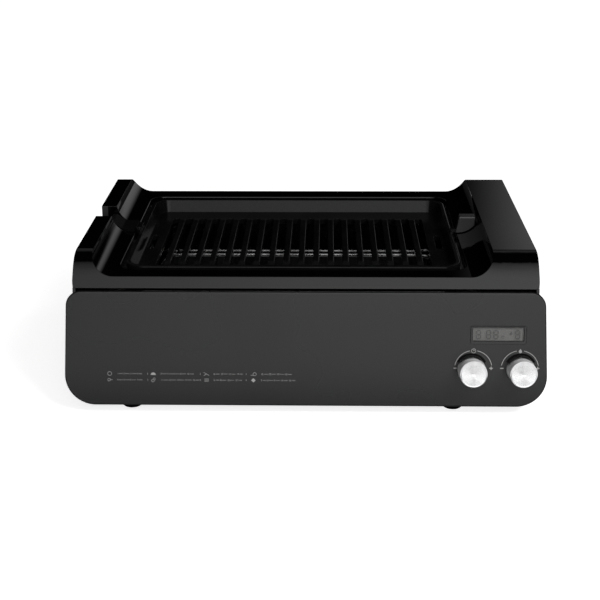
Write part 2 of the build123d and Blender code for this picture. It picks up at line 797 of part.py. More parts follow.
# Well liner and drip tray
def well_liner():
    """Folded steel well: flange on the ledge of the deck, walls with heater windows, flat floor."""
    outer = (liner_width + 2 * sheet, liner_depth + 2 * sheet)
    well = rounded_block(cooking_middle, outer, (liner_floor_z, liner_top_z), liner_corner + sheet)
    flange = (outer[0] + 2 * liner_flange, outer[1] + 2 * liner_flange)
    well += rounded_block(cooking_middle, flange, (ledge_z, liner_top_z), recess_corner - sheet)
    inside_z = (liner_floor_z + sheet, liner_top_z + overrun)
    well -= rounded_block(cooking_middle, (liner_width, liner_depth), inside_z, liner_corner)
    window_z = (base_z + window_foot, base_z + window_foot + window_height)
    window_y = (cooking_depth_middle - window_length / 2, cooking_depth_middle + window_length / 2)
    well -= block((cooking_shift - liner_width, cooking_shift + liner_width), window_y, window_z)
    for x, y in liner_screws_at:
        well -= upright(x, y, (liner_floor_z, liner_floor_z + sheet), hole_radius)
    sensor_y = cooking_depth_middle - liner_depth / 2
    sensor = Pos(cooking_shift + sensor_shift, sensor_y, tube_z) * Rot(90, 0, 0)
    return well - sensor * Cylinder(sensor_radius + screw_clearance, sensor_length)


def drip_tray():
    """Pressed steel tray with leaning walls and a rolled rim."""
    rim = (liner_width - 2 * tray_rim_gap, liner_depth - 2 * tray_rim_gap)
    top_z = tray_foot_z + tray_height
    taper = -degrees(atan2(tray_height * tray_taper_share, tray_height))
    spread = 2 * (tray_lip + tray_height * tray_taper_share)
    foot_size = (rim[0] - spread, rim[1] - spread)
    tray = rounded_block(cooking_middle, foot_size, (tray_foot_z, top_z), tray_corner / 2, taper)
    lip = rounded_block(cooking_middle, rim, (top_z - 2 * tray_sheet, top_z), tray_corner + tray_lip)
    tray += fillet(lip.faces().sort_by(Axis.Z)[-1].edges(), tray_sheet)
    inside_z = (tray_foot_z + tray_sheet, top_z)
    inner_size = (foot_size[0] - 2 * tray_sheet, foot_size[1] - 2 * tray_sheet)
    return tray - rounded_block(cooking_middle, inner_size, inside_z, tray_corner / 2, taper)


# Heaters
def heater_side(side):
    """Reflector, tube, end caps, brackets and guard of one side, all outside the liner's wall."""
    face_x = cooking_shift + side * liner_face
    tube_x = face_x + side * tube_offset
    back_x = face_x + side * reflector_depth
    half = reflector_half_height
    flange = half + reflector_flange

    def trough(skin):
        mouth_x = face_x + side * wire_gap
        upper = (mouth_x, tube_z + half + skin)
        lower = (mouth_x, tube_z - half - skin)
        outline = ThreePointArc(upper, (back_x + side * skin, tube_z), lower)
        outline += Line(lower, upper)
        return extrude(Plane.XZ * make_face(outline), reflector_length / 2, both=True)

    reflector = trough(sheet) - trough(0)
    flange_xs = (min(face_x, face_x + side * sheet), max(face_x, face_x + side * sheet))
    for direction in (-1, 1):
        zs = sorted((tube_z + direction * half, tube_z + direction * flange))
        reflector += block(flange_xs, (-reflector_length / 2, reflector_length / 2), zs) - trough(0)
    reflector = Pos(0, cooking_depth_middle, 0) * reflector

    tube = Pos(tube_x, cooking_depth_middle, tube_z) * Rot(90, 0, 0) * Cylinder(tube_radius, tube_length)
    caps = []
    brackets = []
    for end in (-1, 1):
        cap_y = cooking_depth_middle + end * (tube_length / 2 + cap_length / 2 - cap_radius)
        cap = Pos(tube_x, cap_y, tube_z) * Rot(90, 0, 0) * Cylinder(cap_radius, cap_length)
        tube_hole = Pos(tube_x, cooking_depth_middle, tube_z) * Rot(90, 0, 0)
        hole_length = tube_length + 2 * push_clearance
        caps.append(cap - tube_hole * Cylinder(tube_radius + cap_clearance, hole_length))
        xs = (min(face_x, face_x + side * bracket_reach), max(face_x, face_x + side * bracket_reach))
        ys = (cap_y - bracket_thickness / 2, cap_y + bracket_thickness / 2)
        bracket = block(xs, ys, (tube_z - bracket_half_height, tube_z + bracket_half_height))
        foot_ys = sorted((cap_y, cap_y + end * bracket_half_height))
        bracket += block(flange_xs, foot_ys, (tube_z - bracket_half_height, tube_z + bracket_half_height))
        hole = Pos(tube_x, cap_y, tube_z) * Rot(90, 0, 0)
        brackets.append(bracket - hole * Cylinder(cap_radius + cap_clearance, cap_length))

    wire_x = face_x + side * (wire_gap + wire_radius)
    rail_z = window_height / 2 + wire_radius
    guard = None
    for direction in (-1, 1):
        rail = Pos(wire_x, cooking_depth_middle, tube_z + direction * rail_z) * Rot(90, 0, 0)
        rail *= Cylinder(wire_radius, window_length)
        guard = rail if guard is None else guard + rail
    for index in range(wire_count):
        y = cooking_depth_middle + window_length * ((index + 0.5) / wire_count - 0.5)
        guard += upright(wire_x, y, (tube_z - rail_z, tube_z + rail_z), wire_radius)
    return reflector, tube, group(caps), group(brackets), guard


# Controls on the panel, drawn in the panel's frame
def encoder(x):
    """Encoder housing with its bush, bored for the shaft and the push plunger."""
    body_zs = (board_face, board_face + encoder_height)
    body = block(
        (x - encoder_side / 2, x + encoder_side / 2),
        (knob_height_on_panel - encoder_side / 2, knob_height_on_panel + encoder_side / 2),
        body_zs,
    )
    body += upright(x, knob_height_on_panel, (body_zs[1], -bezel_proud), bush_radius)
    bore_zs = (plunger_z - push_travel - push_clearance, overrun)
    return on_panel(body - upright(x, knob_height_on_panel, bore_zs, shaft_radius + shaft_clearance))


plunger_z = board_face + push_travel + 2 * push_clearance
shaft_foot = plunger_z + plunger_height


def knob_cap(x):
    """Spun aluminium shell: tapered side, rounded edge and a slightly dished face."""
    top = knob_gap + knob_height
    inner_top = top - knob_shell
    outline = Polyline(
        (knob_foot_radius - knob_shell, knob_gap), (knob_foot_radius, knob_gap),
        (knob_face_radius, top - knob_edge),
    )
    outline += ThreePointArc(
        (knob_face_radius, top - knob_edge),
        (knob_face_radius - knob_edge * (1 - sin(radians(45))), top - knob_edge * (1 - sin(radians(45)))),
        (knob_face_radius - knob_edge, top),
    )
    outline += Polyline(
        (knob_face_radius - knob_edge, top), (knob_face_radius - 2 * knob_edge, top - knob_dish / 2),
        (0, top - knob_dish), (0, inner_top), (knob_face_radius - knob_shell, inner_top),
        (knob_foot_radius - knob_shell, knob_gap),
    )
    return on_panel(Pos(x, knob_height_on_panel, 0) * revolve(Plane.XZ * make_face(outline), Axis.Z))


def knob_core(x):
    """Moulded plug inside the cap with a bore for the shaft."""
    inner_top = knob_gap + knob_height - knob_shell
    grip_top = knob_gap + shaft_grip
    bore = shaft_radius + shaft_clearance / 2
    outline = Polyline(
        (bore, knob_gap), (knob_foot_radius - knob_shell, knob_gap),
        (knob_face_radius - knob_shell, inner_top),
        (0, inner_top), (0, grip_top), (bore, grip_top), close=True,
    )
    return on_panel(Pos(x, knob_height_on_panel, 0) * revolve(Plane.XZ * make_face(outline), Axis.Z))


def display_parts():
    """Bezel ring, clear lens and the display module on the board."""
    middle = Pos(display_middle, display_middle_height, 0)
    inner = (display_width - 2 * bezel_side, display_height - 2 * bezel_side)
    ring = RectangleRounded(display_width, display_height, display_corner)
    ring -= Pos(0, bezel_window_lift, 0) * RectangleRounded(inner[0], inner[1], bezel_side / 2)
    bezel = middle * Pos(0, 0, bezel_proud) * extrude(ring, -bezel_depth - bezel_proud)
    inside = RectangleRounded(inner[0] - display_fit, inner[1] - display_fit, bezel_side / 2)
    lens = middle * Pos(0, bezel_window_lift, -lens_recess) * extrude(inside, -lens_thickness)
    module_top = -lens_recess - lens_thickness - display_fit
    module = middle * Pos(0, bezel_window_lift, module_top) * extrude(inside, board_face - module_top)
    return on_panel(bezel), on_panel(lens), on_panel(module)


def control_board():
    """Circuit board that carries the encoders and the display."""
    board = block(
        (board_left, board_left + board_width),
        (board_foot, board_foot + board_height),
        (board_face - board_thickness, board_face),
    )
    for x, height in board_posts_at:
        board -= upright(x, height, (board_face - board_thickness, board_face), hole_radius)
    return on_panel(board)


# Power parts
power_board_z = cover_top_z + power_board_lift
power_parts_z = power_board_z + board_thickness


def power_board():
    """Circuit board in the bay beside the well."""
    board = block(
        (power_board_left, power_board_left + power_board_width),
        (power_board_front, power_board_front + power_board_length),
        (power_board_z, power_parts_z),
    )
    for x, y in power_posts_at:
        board -= upright(x, y, (power_board_z, power_parts_z), hole_radius)
    return board


power_middle = power_board_left + power_board_width / 2


def on_board(size, share):
    """A block standing on the power board at a share of the board's length."""
    y = power_board_front + power_board_length * share
    xs = (power_middle - size[0] / 2, power_middle + size[0] / 2)
    return block(xs, (y - size[1] / 2, y + size[1] / 2), (power_parts_z, power_parts_z + size[2]))


relay_share = 0.2
sink_share = 0.45
triac_share = sink_share + (sink_size[1] + triac_size[1]) / 2 / power_board_length
capacitor_share = 0.7
terminal_share = 0.86


def heatsink():
    """Extruded heat sink with upright fins."""
    sink = on_board(sink_size, sink_share)
    y = power_board_front + power_board_length * sink_share
    fin_pitch = (sink_size[0] - sink_fin_thickness) / (sink_fin_count - 1)
    for index in range(sink_fin_count - 1):
        x = power_middle - sink_size[0] / 2 + sink_fin_thickness + index * fin_pitch
        gap_ys = (y - sink_size[1] / 2 - overrun, y + sink_size[1] / 2 - sink_base_thickness)
        zs = (power_parts_z, power_parts_z + sink_size[2])
        sink -= block((x, x + fin_pitch - sink_fin_thickness), gap_ys, zs)
    return sink


def thermal_cutout():
    """Disc thermostat with two blades on the rear wall of the well."""
    face_y = cooking_depth_middle + liner_depth / 2 + sheet
    x = cooking_shift + cutout_shift
    body = Pos(x, face_y + cutout_height / 2, tube_z) * Rot(90, 0, 0) * Cylinder(cutout_radius, cutout_height)
    for side in (-1, 1):
        blade_x = x + side * cutout_radius / 2
        xs = (blade_x - sheet / 2, blade_x + sheet / 2)
        ys = (face_y + cutout_height, face_y + cutout_height * 2)
        body += block(xs, ys, (tube_z - cutout_radius / 3, tube_z + cutout_radius / 3))
    return body


def temperature_sensor():
    """Probe that passes through the front wall of the well, with a collar outside."""
    face_y = cooking_depth_middle - liner_depth / 2 - sheet
    x = cooking_shift + sensor_shift
    probe_y = face_y + sheet + sensor_reach - sensor_length / 2
    probe = Pos(x, probe_y, tube_z) * Rot(90, 0, 0) * Cylinder(sensor_radius, sensor_length)
    collar_y = face_y - sheet
    collar = Pos(x, collar_y, tube_z) * Rot(90, 0, 0) * Cylinder(sensor_radius * 2, 2 * sheet)
    return probe + collar


# Mains inlet in the rear wall
inlet_middle = body_width / 2 - inlet_side_inset
inlet_z = base_z + inlet_lift


def inlet_opening():
    """Hole in the rear wall for the inlet's body and its two screws."""
    ys = (rear_reach - wall - overrun, rear_reach + overrun)
    half_width = inlet_width / 2 + screw_clearance
    half_height = inlet_height / 2 + screw_clearance
    xs = (inlet_middle - half_width, inlet_middle + half_width)
    hole = block(xs, ys, (inlet_z - half_height, inlet_z + half_height))
    for side in (-1, 1):
        screw_hole = Pos(inlet_middle + side * inlet_screw_spacing / 2, rear_reach, inlet_z) * Rot(90, 0, 0)
        hole += screw_hole * Cylinder(hole_radius, 2 * overrun)
    return hole


def inlet_parts():
    """Flanged socket, its three pins and the two screws."""
    to_rear = Plane(origin=(inlet_middle, rear_reach, inlet_z), x_dir=(-1, 0, 0), z_dir=(0, 1, 0)).location
    body = extrude(Rectangle(inlet_width, inlet_height), -(inlet_depth - inlet_flange_thickness))
    flange = RectangleRounded(inlet_flange_width, inlet_flange_height, inlet_corner)
    body += extrude(flange, inlet_flange_thickness)
    cavity = RectangleRounded(inlet_width - 2 * inlet_wall, inlet_height - 2 * inlet_wall, inlet_corner)
    body -= Pos(0, 0, inlet_flange_thickness) * extrude(cavity, -inlet_cavity_depth)
    for side in (-1, 1):
        body -= Pos(side * inlet_screw_spacing / 2, 0, inlet_flange_thickness / 2) * Cylinder(
            hole_radius, inlet_flange_thickness
        )
    floor = inlet_flange_thickness - inlet_cavity_depth
    pins = []
    for column, rise in ((-1, -1), (0, 1), (1, -1)):
        place = Pos(column * inlet_pin_spacing, rise * inlet_pin_rise / 2, floor + inlet_pin_length / 2)
        pins.append(to_rear * place * Box(inlet_pin_width, inlet_pin_height, inlet_pin_length))
    screws = []
    for side in (-1, 1):
        seat = Pos(side * inlet_screw_spacing / 2, 0, inlet_flange_thickness)
        shank = seat * Pos(0, 0, -screw_length / 2) * Cylinder(screw_radius, screw_length)
        screws.append(to_rear * shank)
    return to_rear * body, group(pins), group(screws)


# Fasteners
def panel_screw(x, height):
    """A screw from behind the front plate into a boss of the panel."""
    seat = -panel_thickness - wall
    head = upright(x, height, (seat - screw_head_height, seat), screw_head_radius)
    return on_panel(head + upright(x, height, (seat, seat + panel_screw_length), screw_radius))


def board_screw(x, height):
    """A screw from behind the control board into a post of the panel."""
    seat = board_face - board_thickness
    head = upright(x, height, (seat - screw_head_height, seat), screw_head_radius)
    return on_panel(head + upright(x, height, (seat, seat + screw_length / 2), screw_radius))


nodes = {
    "front_panel": front_panel(),
    "base_housing": base_housing(),
    "bottom_cover": bottom_cover(),
    "top_housing": top_housing(),
    "grill_plate": grill_plate(),
    "lift_tab_right": lift_tab_right(),
    "lift_tab_left": lift_tab_left(),
    "tab_rivets": tab_rivets(),
    "well_liner": well_liner(),
    "drip_tray": drip_tray(),
    "control_board": control_board(),
    "power_board": power_board(),
    "relay": on_board(relay_size, relay_share),
    "heatsink": heatsink(),
    "triac": on_board(triac_size, triac_share),
    "terminal_block": on_board(terminal_size, terminal_share),
    "thermal_cutout": thermal_cutout(),
    "temperature_sensor": temperature_sensor(),
}
for place, (foot_x, foot_y) in foot_places.items():
    nodes["foot_" + place] = foot(foot_x, foot_y)
for name, side in (("left", -1), ("right", 1)):
    reflector, tube, caps, brackets, guard = heater_side(side)
    nodes["reflector_" + name] = reflector
    nodes["heater_tube_" + name] = tube
    nodes["heater_caps_" + name] = caps
    nodes["heater_brackets_" + name] = brackets
    nodes["heater_guard_" + name] = guard
for name, x in knob_places.items():
    axis_at = (x, knob_height_on_panel)
    nodes[name + "_encoder"] = encoder(x)
    plunger = upright(*axis_at, (plunger_z, shaft_foot), shaft_radius - shaft_clearance)
    nodes[name + "_plunger"] = on_panel(plunger)
    nodes[name + "_shaft"] = on_panel(upright(*axis_at, (shaft_foot, knob_gap + shaft_grip), shaft_radius))
    nodes[name + "_knob_core"] = knob_core(x)
    nodes[name + "_knob_cap"] = knob_cap(x)
nodes["display_bezel"], nodes["display_lens"], nodes["display_module"] = display_parts()
nodes["inlet_socket"], nodes["inlet_pins"], nodes["inlet_screws"] = inlet_parts()
capacitor_y = power_board_front + power_board_length * capacitor_share
capacitor_zs = (power_parts_z, power_parts_z + capacitor_height)
nodes["capacitor"] = upright(power_middle, capacitor_y, capacitor_zs, capacitor_radius)
nodes["panel_screws"] = group(panel_screw(x, height) for x, height in panel_screws_at)
nodes["control_board_screws"] = group(board_screw(x, height) for x, height in board_posts_at)
nodes["power_board_screws"] = group(
    screw_down(x, y, power_parts_z, screw_length) for x, y in power_posts_at
)
nodes["liner_screws"] = group(
    screw_down(x, y, liner_floor_z + sheet, screw_length) for x, y in liner_screws_at
)
nodes["foot_screws"] = group(
    screw_up(x, y, foot_recess_height, screw_length) for x, y in foot_places.values()
)
nodes["housing_screws"] = group(
    screw_up(x, y, base_top_z - pillar_web, screw_length)
    for x in (-pillar_x, pillar_x)
    for y in pillar_depths
)
nodes["cover_screws"] = group(
    screw_up(x, y, base_z + cover_thickness / 2, screw_length)
    for x in (-cover_screw_x, cover_screw_x)
    for y in cover_screw_depths
)

os.makedirs("parts", exist_ok=True)
for name, shape in nodes.items():
    export_step(Pos(0, -depth_middle, 0) * shape, f"parts/{name}.step")
print(len(nodes), "nodes, depth middle", round(depth_middle, 3))
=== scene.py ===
import math

import bmesh
import bpy
from mathutils import Matrix, Vector


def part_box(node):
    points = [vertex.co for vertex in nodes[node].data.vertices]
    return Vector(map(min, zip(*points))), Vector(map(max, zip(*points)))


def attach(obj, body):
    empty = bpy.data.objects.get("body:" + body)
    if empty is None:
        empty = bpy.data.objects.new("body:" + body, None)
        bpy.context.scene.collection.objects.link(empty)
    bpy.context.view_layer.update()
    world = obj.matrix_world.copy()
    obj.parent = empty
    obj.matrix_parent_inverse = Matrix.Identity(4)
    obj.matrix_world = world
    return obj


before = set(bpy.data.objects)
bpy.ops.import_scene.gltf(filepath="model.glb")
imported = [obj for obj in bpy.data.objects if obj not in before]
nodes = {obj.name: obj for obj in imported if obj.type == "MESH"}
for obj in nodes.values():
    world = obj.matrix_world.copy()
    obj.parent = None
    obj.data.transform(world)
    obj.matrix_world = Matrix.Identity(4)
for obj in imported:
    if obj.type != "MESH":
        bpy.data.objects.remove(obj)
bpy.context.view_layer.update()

# Sizes and places, in metres and degrees
IMAGE_SIDE = 600
FOCAL_PIXELS = 1200
SENSOR_WIDTH = 36.0
CAMERA_PLACE = Vector((0.0233, -1.3087, 0.5845))
CAMERA_PITCH = 21.6
CAMERA_YAW = 1.4
CAMERA_ROLL = -0.32

# The panel's plane, and how the ink lies on it
PANEL_FOOT = Vector((0.0, -0.168244, 0.012))
PANEL_RISE = 0.121
PANEL_SETBACK = 0.022
PRINT_LIFT = 0.00002
PRINT_THICKNESS = 0.00004

# Prints round the knobs; the arcs sit where the photograph shows them
KNOB_PRINTS = {"timer": 0.1766, "heat": 0.2253}
ARC_HEIGHT = 0.0418
ARC_RADIUS = 0.0195
ARC_STROKE = 0.0007
ARC_FROM = 12.5
ARC_TO = 78.5
SIGN_HEIGHT = 0.0422
SIGN_REACH = 0.0187
SIGN_LENGTH = 0.0036
SIGN_STROKE = 0.0010
MARK_HEIGHT = 0.0609
DIAL_CLOCK_RADIUS = 0.0025
DIAL_CLOCK_STROKE = 0.0005
DIAL_DROP_SIZE = (0.0034, 0.0046)
ARC_END_SHARE = 0.62
KNOB_FACE_RADIUS = 0.0133
# Painted shade above each knob: a dark printed band where the knob's shadow falls
KNOB_AXES = (0.1745, 0.2260)
KNOB_AXIS_HEIGHT = 0.0413
SHADE_BAND_RADIUS = 0.01605
SHADE_BAND_WIDTH = 0.0023
SHADE_BAND_REACH = 63.0

# Display
DIGIT_WIDTH = 0.0052
DIGIT_HEIGHT = 0.0094
DIGIT_STROKE = 0.0009
DIGIT_LEVEL = 0.0782
DIGIT_PLACES = (0.1813, 0.1919, 0.1994, 0.2221)
DISPLAY_CLOCK = (0.2065, 0.0756)
DISPLAY_CLOCK_RADIUS = 0.0016
DISPLAY_CLOCK_STROKE = 0.0004
DISPLAY_DROP = (0.2153, 0.0798)
DISPLAY_DROP_SIZE = (0.0026, 0.0038)
LENS_SINK = 0.0005
SEGMENT_GAP_SHARE = 0.55
CLOCK_HAND_SHARES = ((0.0, 0.62), (0.45, 0.28))

# Legend
LEGEND_LEVELS = (0.0346, 0.0279)
LEGEND_COLUMNS = (-0.2065, -0.1603, -0.1040, -0.0544)
LEGEND_TEXT_OFFSET = 0.0078
LEGEND_DIVIDERS = (-0.1663, -0.1105, -0.0620)
LEGEND_DIGIT = (0.0011, 0.0021)
LEGEND_STROKE = 0.00028
LEGEND_ICON = 0.0028
LEGEND_TICKS = 5
LEGEND_STEP_SHARE = 1.35
LEGEND_TICK_SHARE = 0.75
LEGEND_GAP_SHARE = 1.2
TICK_FOOT_SHARE = 0.25
TICK_TOP_SHARE = 0.2

# Radii of the edges that the finishes soften, and depths of their relief
GLOSS_EDGE = 0.0007
SATIN_EDGE = 0.0006
PLATE_EDGE = 0.0007
PLATE_WEAR_AND_HIGHLIGHT_EDGE = 0.0005
TRAY_EDGE = 0.0004
CAP_EDGE = 0.0003
BEZEL_EDGE = 0.0009
GLOSS_RIPPLE = 0.000006
SATIN_RELIEF = 0.000008
PLATE_RELIEF = 0.00008
TRAY_RELIEF = 0.00001
CAP_RELIEF = 0.000004
BEZEL_RELIEF = 0.00001
TAB_RELIEF = 0.000004
TRAY_RIM_BAND = 0.0024

tilt = math.atan2(PANEL_SETBACK, PANEL_RISE)
panel_up = Vector((0.0, math.sin(tilt), math.cos(tilt)))
panel_out = Vector((0.0, -math.cos(tilt), math.sin(tilt)))


# Camera at the photograph's viewing angle
def make_camera():
    data = bpy.data.cameras.new("photo_camera")
    data.sensor_width = SENSOR_WIDTH
    data.lens = SENSOR_WIDTH * FOCAL_PIXELS / IMAGE_SIDE
    camera = bpy.data.objects.new("photo_camera", data)
    bpy.context.scene.collection.objects.link(camera)
    pitch = math.radians(CAMERA_PITCH)
    yaw = math.radians(CAMERA_YAW)
    forward = Vector((-math.sin(yaw) * math.cos(pitch), math.cos(yaw) * math.cos(pitch), -math.sin(pitch)))
    right = forward.cross(Vector((0, 0, 1))).normalized()
    up = right.cross(forward)
    basis = Matrix((right, up, -forward)).transposed().to_4x4()
    roll = Matrix.Rotation(math.radians(CAMERA_ROLL), 4, "Z")
    camera.matrix_world = Matrix.Translation(CAMERA_PLACE) @ basis @ roll
    bpy.context.scene.camera = camera


# Node helpers
class Shader:
    """Builds one node tree, with short calls for the nodes that the finishes share."""

    def __init__(self, tree):
        self.tree = tree
        self.tree.nodes.clear()

    def add(self, kind, **settings):
        node = self.tree.nodes.new(kind)
        for key, value in settings.items():
            setattr(node, key, value)
        return node

    def link(self, source, target):
        self.tree.links.new(source, target)

    def place(self, scale=(1, 1, 1)):
        """Object coordinates, stretched."""
        coordinates = self.add("ShaderNodeTexCoord")
        mapping = self.add("ShaderNodeMapping")
        mapping.inputs["Scale"].default_value = scale
        self.link(coordinates.outputs["Object"], mapping.inputs["Vector"])
        return mapping.outputs["Vector"]

    def noise(self, vector, scale, detail=2.0, roughness=0.5):
        node = self.add("ShaderNodeTexNoise")
        node.inputs["Scale"].default_value = scale
        node.inputs["Detail"].default_value = detail
        node.inputs["Roughness"].default_value = roughness
        self.link(vector, node.inputs["Vector"])
        return node.outputs["Fac"]

    def spread(self, value, low, high, source=(0.3, 0.7), kind="LINEAR"):
        """Maps a factor to a range, without running past it."""
        node = self.add("ShaderNodeMapRange", interpolation_type=kind)
        node.inputs["From Min"].default_value = source[0]
        node.inputs["From Max"].default_value = source[1]
        node.inputs["To Min"].default_value = low
        node.inputs["To Max"].default_value = high
        self.link(value, node.inputs["Value"])
        return node.outputs["Result"]

    def within(self, value, rise, fall, kind="LINEAR"):
        """A mask that is one between two ramps, and zero outside them."""
        risen = self.spread(value, 0.0, 1.0, rise, kind)
        return self.math("MULTIPLY", risen, self.spread(value, 1.0, 0.0, fall, kind))

    def math(self, operation, first, second):
        node = self.add("ShaderNodeMath", operation=operation)
        for socket, value in zip(node.inputs, (first, second)):
            if isinstance(value, (int, float)):
                socket.default_value = value
            else:
                self.link(value, socket)
        return node.outputs[0]

    def mix(self, factor, first, second):
        """Mixes two colours; each is a tuple or a socket."""
        node = self.add("ShaderNodeMix", data_type="RGBA")
        self.link(factor, node.inputs["Factor"])
        for name, value in (("A", first), ("B", second)):
            socket = [s for s in node.inputs if s.name == name and s.type == "RGBA"][0]
            if isinstance(value, tuple):
                socket.default_value = (*value, 1.0)
            else:
                self.link(value, socket)
        return [s for s in node.outputs if s.type == "RGBA"][0]

    def bump(self, height, distance, strength=1.0, normal=None):
        node = self.add("ShaderNodeBump")
        node.inputs["Strength"].default_value = strength
        node.inputs["Distance"].default_value = distance
        self.link(height, node.inputs["Height"])
        if normal is not None:
            self.link(normal, node.inputs["Normal"])
        return node.outputs["Normal"]

    def edges(self, radius, low=0.02, high=0.3):
        """A mask that is one near hard edges: where a rounded normal leaves the true one."""
        bevel = self.add("ShaderNodeBevel", samples=4)
        bevel.inputs["Radius"].default_value = radius
        geometry = self.add("ShaderNodeNewGeometry")
        dot = self.add("ShaderNodeVectorMath", operation="DOT_PRODUCT")
        self.link(bevel.outputs["Normal"], dot.inputs[0])
        self.link(geometry.outputs["Normal"], dot.inputs[1])
        return self.spread(self.math("SUBTRACT", 1.0, dot.outputs["Value"]), 0.0, 1.0, (low, high))

    def rounded(self, radius):
        """The normal of softly broken edges."""
        bevel = self.add("ShaderNodeBevel", samples=6)
        bevel.inputs["Radius"].default_value = radius
        return bevel.outputs["Normal"]


def new_material(name):
    material = bpy.data.materials.new(name)
    material.use_nodes = True
    shader = Shader(material.node_tree)
    surface = shader.add("ShaderNodeBsdfPrincipled")
    output = shader.add("ShaderNodeOutputMaterial")
    shader.link(surface.outputs["BSDF"], output.inputs["Surface"])
    return material, shader, surface


def moulded(
    name, color, roughness, grain=900.0, depth=0.00002, edge=0.0004, spread=0.04, specular=0.5, lift=1.5,
):
    """Moulded plastic: fine spark texture, slow changes of gloss and colour, slightly worn edges."""
    material, shader, surface = new_material(name)
    surface.inputs["Specular IOR Level"].default_value = specular
    here = shader.place()
    cloud = shader.noise(here, 14.0, 3.0)
    fine = shader.noise(here, grain, 2.0)
    tone = shader.mix(shader.spread(cloud, 0.0, 1.0), color, tuple(c * 1.12 for c in color))
    worn = shader.math("MULTIPLY", shader.edges(edge), shader.spread(shader.noise(here, 160.0), 0.0, 1.0))
    rubbed = tuple(min(1.0, c * lift) for c in color)
    shader.link(shader.mix(worn, tone, rubbed), surface.inputs["Base Color"])
    gloss = shader.spread(cloud, max(0.02, roughness - spread), roughness + spread)
    shader.link(gloss, surface.inputs["Roughness"])
    shader.link(shader.bump(fine, depth, 1.0, shader.rounded(edge)), surface.inputs["Normal"])
    return material


def gloss_black(name):
    """Polished black moulding: deep gloss with faint flow ripple, dust and hairline swirls."""
    material, shader, surface = new_material(name)
    here = shader.place()
    cloud = shader.noise(here, 9.0, 3.0)
    dust = shader.noise(here, 2600.0, 1.0)
    ripple = shader.noise(here, 55.0, 1.0)
    speck = shader.spread(dust, 0.0, 1.0, (0.74, 0.8))
    tone = shader.mix(speck, (0.0008, 0.0008, 0.0009), (0.010, 0.010, 0.010))
    shader.link(tone, surface.inputs["Base Color"])
    shader.link(shader.spread(cloud, 0.03, 0.06), surface.inputs["Roughness"])
    shader.link(shader.bump(ripple, GLOSS_RIPPLE, 0.6, shader.rounded(GLOSS_EDGE)), surface.inputs["Normal"])
    return material


def satin_panel(name):
    """Dark grey satin fascia: fine even texture with soft changes of sheen."""
    material, shader, surface = new_material(name)
    here = shader.place()
    cloud = shader.noise(here, 7.0, 2.0)
    fine = shader.noise(here, 1500.0, 2.0)
    tone = shader.mix(shader.spread(cloud, 0.0, 1.0), (0.0100, 0.0100, 0.0104), (0.0122, 0.0122, 0.0126))
    shader.link(tone, surface.inputs["Base Color"])
    shader.link(shader.spread(cloud, 0.25, 0.29), surface.inputs["Roughness"])
    shader.link(shader.bump(fine, SATIN_RELIEF, 1.0, shader.rounded(SATIN_EDGE)), surface.inputs["Normal"])
    return material


def nonstick(name):
    """Cast plate under a non-stick coat: pebbled, semi-gloss, with mineral specks, and edges lighter from
    rubbed coat and a painted highlight.
    """
    material, shader, surface = new_material(name)
    here = shader.place()
    pebble = shader.noise(here, 420.0, 3.0, 0.6)
    cloud = shader.noise(here, 22.0, 3.0)
    speck = shader.spread(shader.noise(here, 1900.0, 1.0), 0.0, 1.0, (0.66, 0.74))
    surface.inputs["Specular IOR Level"].default_value = 0.19
    tone = shader.mix(shader.spread(cloud, 0.0, 1.0), (0.0024, 0.0024, 0.0026), (0.0046, 0.0046, 0.0048))
    tone = shader.mix(shader.math("MULTIPLY", speck, 0.5), tone, (0.04, 0.04, 0.04))
    # Every edge is lightened evenly: partly rubbed coat, partly a painted highlight along the bar edges
    worn = shader.math("MULTIPLY", shader.edges(PLATE_WEAR_AND_HIGHLIGHT_EDGE), 0.5)
    shader.link(shader.mix(worn, tone, (0.05, 0.05, 0.052)), surface.inputs["Base Color"])
    shader.link(shader.spread(cloud, 0.09, 0.14), surface.inputs["Roughness"])
    shader.link(shader.bump(pebble, PLATE_RELIEF, 1.0, shader.rounded(PLATE_EDGE)), surface.inputs["Normal"])
    return material


def metal(name, color, roughness, stretch=(1, 1, 1), grain=500.0, depth=0.00001, edge=0.0004, stain=0.85):
    """Drawn or pressed metal: grain stretched along the sheet, handling marks, bright edges."""
    material, shader, surface = new_material(name)
    surface.inputs["Metallic"].default_value = 1.0
    here = shader.place()
    lines = shader.noise(shader.place(stretch), grain, 4.0, 0.6)
    cloud = shader.noise(here, 18.0, 3.0)
    tone = shader.mix(shader.spread(cloud, 0.0, 1.0), tuple(c * stain for c in color), color)
    bright = tuple(min(1.0, c * 1.15) for c in color)
    shader.link(shader.mix(shader.edges(edge), tone, bright), surface.inputs["Base Color"])
    handled = shader.spread(cloud, roughness, roughness + 0.06)
    rough = shader.math("ADD", shader.spread(lines, -0.05, 0.07), handled)
    shader.link(rough, surface.inputs["Roughness"])
    shader.link(shader.bump(lines, depth, 1.0, shader.rounded(edge)), surface.inputs["Normal"])
    return material


